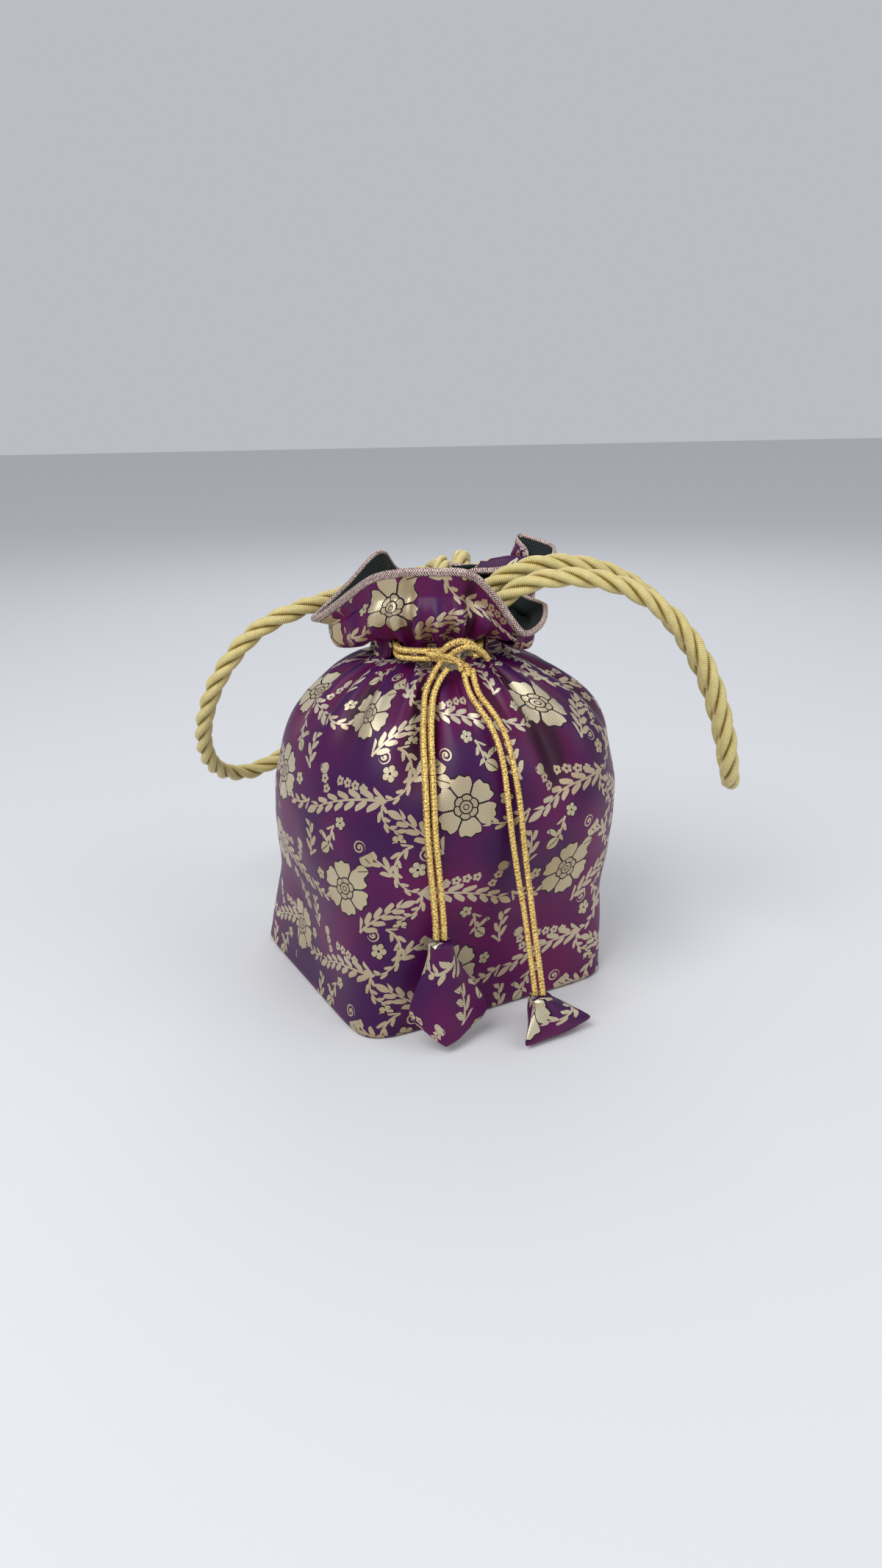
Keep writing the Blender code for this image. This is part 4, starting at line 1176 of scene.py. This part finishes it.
class POTLI_OT_brocade(bpy.types.Operator):
    """Adds the brocade shell: base, body, gathered neck and ruffle"""
    bl_idname = "potli.brocade"
    bl_label = "Brocade shell"

    def execute(self, context):
        creases = context.scene.potli_sizes.creases
        sheet = ClothSheet(wall_heights(74), ruffle_shares(0.985, 26), PLEAT_DEPTH, creases)
        cloth = sewn_cloth(sheet, rounded_edge(sheet.places, (1.0, 0.35)))
        silk = shared_look(purple_zari_brocade)
        piece = finish_piece("gathered_brocade", cloth, silk, "brocade", "brocade_shell")
        self.mark_valleys(piece)
        self.cut_slits(piece)
        thicken(piece, CLOTH)
        return {"FINISHED"}

    def mark_valleys(self, piece):
        """Keeps how deep each point lies in a fold, for the painted shade and painted sheen colour of the
        folds.
        """
        mesh = piece.data
        marks = mesh.attributes.new("valley", "FLOAT", "POINT")
        for v, mark in zip(mesh.vertices, marks.data):
            angle = degrees(atan2(v.co.y, v.co.x - NECK_DRIFT))
            up = max(v.co.z - BAND_HIGH, 0.0) / RUFFLE_HEIGHT
            share = self.gather_share(angle)
            depth = -fold(angle, share, min(v.co.z, BAND_LOW), up, PLEAT_DEPTH)
            mark.value = min(max(depth / FULL_FOLD, 0.0), 1.0)

    def gather_share(self, angle):
        starts = [g[0] for g in GATHERS] + [GATHERS[0][0] + 360]
        for start, end in zip(starts, starts[1:]):
            turned = angle if angle >= GATHERS[0][0] else angle + 360
            if start <= turned < end:
                return (turned - start) / (end - start)
        return 0.0

    def cut_slits(self, piece):
        """Opens the two slits through which the drawstrings leave their channel."""
        bm = bmesh.new()
        bm.from_mesh(piece.data)
        half = CORD_PITCH / 2 + CORD_WIDTH / 2 + 2 * CLEARANCE
        doomed = []
        for face in bm.faces:
            c = face.calc_center_median()
            angle = atan2(c.y, c.x - NECK_DRIFT)
            near = min(abs(angle - SLIT_LEFT), abs(angle - SLIT_RIGHT)) * NECK_RADIUS
            if abs(c.z - NECK_HEIGHT) < half and near < SLIT_HALF:
                doomed.append(face)
        bmesh.ops.delete(bm, geom=doomed, context="FACES")
        bm.to_mesh(piece.data)
        bm.free()


class POTLI_OT_lining(bpy.types.Operator):
    """Adds the dark lining inside the brocade"""
    bl_idname = "potli.lining"
    bl_label = "Lining"

    def execute(self, context):
        channel = NECK_RADIUS - CLOTH - LAYER_GAP - LINING_NECK
        sheet = ClothSheet(wall_heights(60), ruffle_shares(0.98, 20), LINING_PLEAT, 0.0)
        cloth = sewn_cloth(sheet, rounded_edge(sheet.sunk(CLOTH + LAYER_GAP, channel), (1.0,)))
        matty = shared_look(dark_matty_lining)
        piece = finish_piece("dark_lining_cloth", cloth, matty, "lining", "lining")
        thicken(piece, LINING)
        return {"FINISHED"}


class POTLI_OT_edging(bpy.types.Operator):
    """Adds the zigzag edging that is folded over the rim"""
    bl_idname = "potli.edging"
    bl_label = "Rim edging"
    # How far below the rim its rows lie outside and inside, off the cloth, and above the rim
    outside = (0.0026, 0.0020, 0.0013, 0.0006, 0.0)
    inside = (0.0, 0.0004, 0.0009)
    lift = 0.0002
    crown = 0.0009

    def execute(self, context):
        sheet = ClothSheet([BAND_HIGH], [0.7 + 0.3 * k / 12 for k in range(13)], PLEAT_DEPTH, 0.0)
        depth = CLOTH + LAYER_GAP + LINING + self.lift
        outer = [[p + n * self.lift for p, n in self.below_rim(sheet, down)] for down in self.outside]
        inner = [[p - n * depth for p, n in self.below_rim(sheet, down)] for down in self.inside]
        rim = sheet.places[-1]
        top = [p - n * depth / 2 + (p - q).normalized() * self.crown
               for (p, n), q in zip(self.below_rim(sheet, 0.0), sheet.places[-2])]
        rows = outer + [top] + inner + [outer[0]]
        around = arc_lengths(rim + rim[:1])
        across = arc_lengths([row[0] for row in rows])
        bm = lay_grid(bmesh.new(), rows, lambda i, j: (around[i] * MM, across[j] * MM))
        bmesh.ops.remove_doubles(bm, verts=bm.verts, dist=1e-6)
        finish_piece("zigzag_rim_edging", bm, shared_look(zigzag_metal_braid), "edging", "rim_edging")
        return {"FINISHED"}

    def below_rim(self, sheet, down):
        """The point and outward direction of each column of the cloth at a length down from the rim."""
        normals, found = sheet.normals(), []
        for i in range(len(sheet.columns)):
            column = [row[i] for row in sheet.places[::-1]]
            lengths = arc_lengths(column)
            k = min(bisect_right(lengths, down) - 1, len(column) - 2)
            t = (down - lengths[k]) / (lengths[k + 1] - lengths[k])
            outward = normals[-1 - k][i].lerp(normals[-2 - k][i], t).normalized()
            found.append((column[k].lerp(column[k + 1], t), outward))
        return found


class POTLI_PT_parts(bpy.types.Panel):
    """Lists the bag's operators, sizes and colours"""
    bl_label = "Potli Bag"
    bl_space_type = "VIEW_3D"
    bl_region_type = "UI"
    bl_category = "Potli Bag"

    def draw(self, context):
        for group in (context.scene.potli_sizes, context.scene.potli_colours):
            for name in group.__annotations__:
                self.layout.prop(group, name)
        for kind in OPERATORS:
            self.layout.operator(kind.bl_idname)


OPERATORS = (POTLI_OT_stage, POTLI_OT_rope_handles, POTLI_OT_tassels, POTLI_OT_drawstrings, POTLI_OT_brocade,
             POTLI_OT_lining, POTLI_OT_edging)
CLASSES = (PotliSizes, PotliColours, *OPERATORS, POTLI_PT_parts)


def register():
    for kind in CLASSES:
        bpy.utils.register_class(kind)
    bpy.types.Scene.potli_sizes = bpy.props.PointerProperty(type=PotliSizes)
    bpy.types.Scene.potli_colours = bpy.props.PointerProperty(type=PotliColours)


def unregister():
    del bpy.types.Scene.potli_sizes, bpy.types.Scene.potli_colours
    for kind in reversed(CLASSES):
        bpy.utils.unregister_class(kind)


def main():
    register()
    bpy.ops.potli.stage()
    bpy.ops.potli.rope_handles()
    bpy.ops.potli.tassels()
    bpy.ops.potli.drawstrings()
    bpy.ops.potli.brocade()
    bpy.ops.potli.lining()
    bpy.ops.potli.edging()


if __name__ == "__main__":
    main()
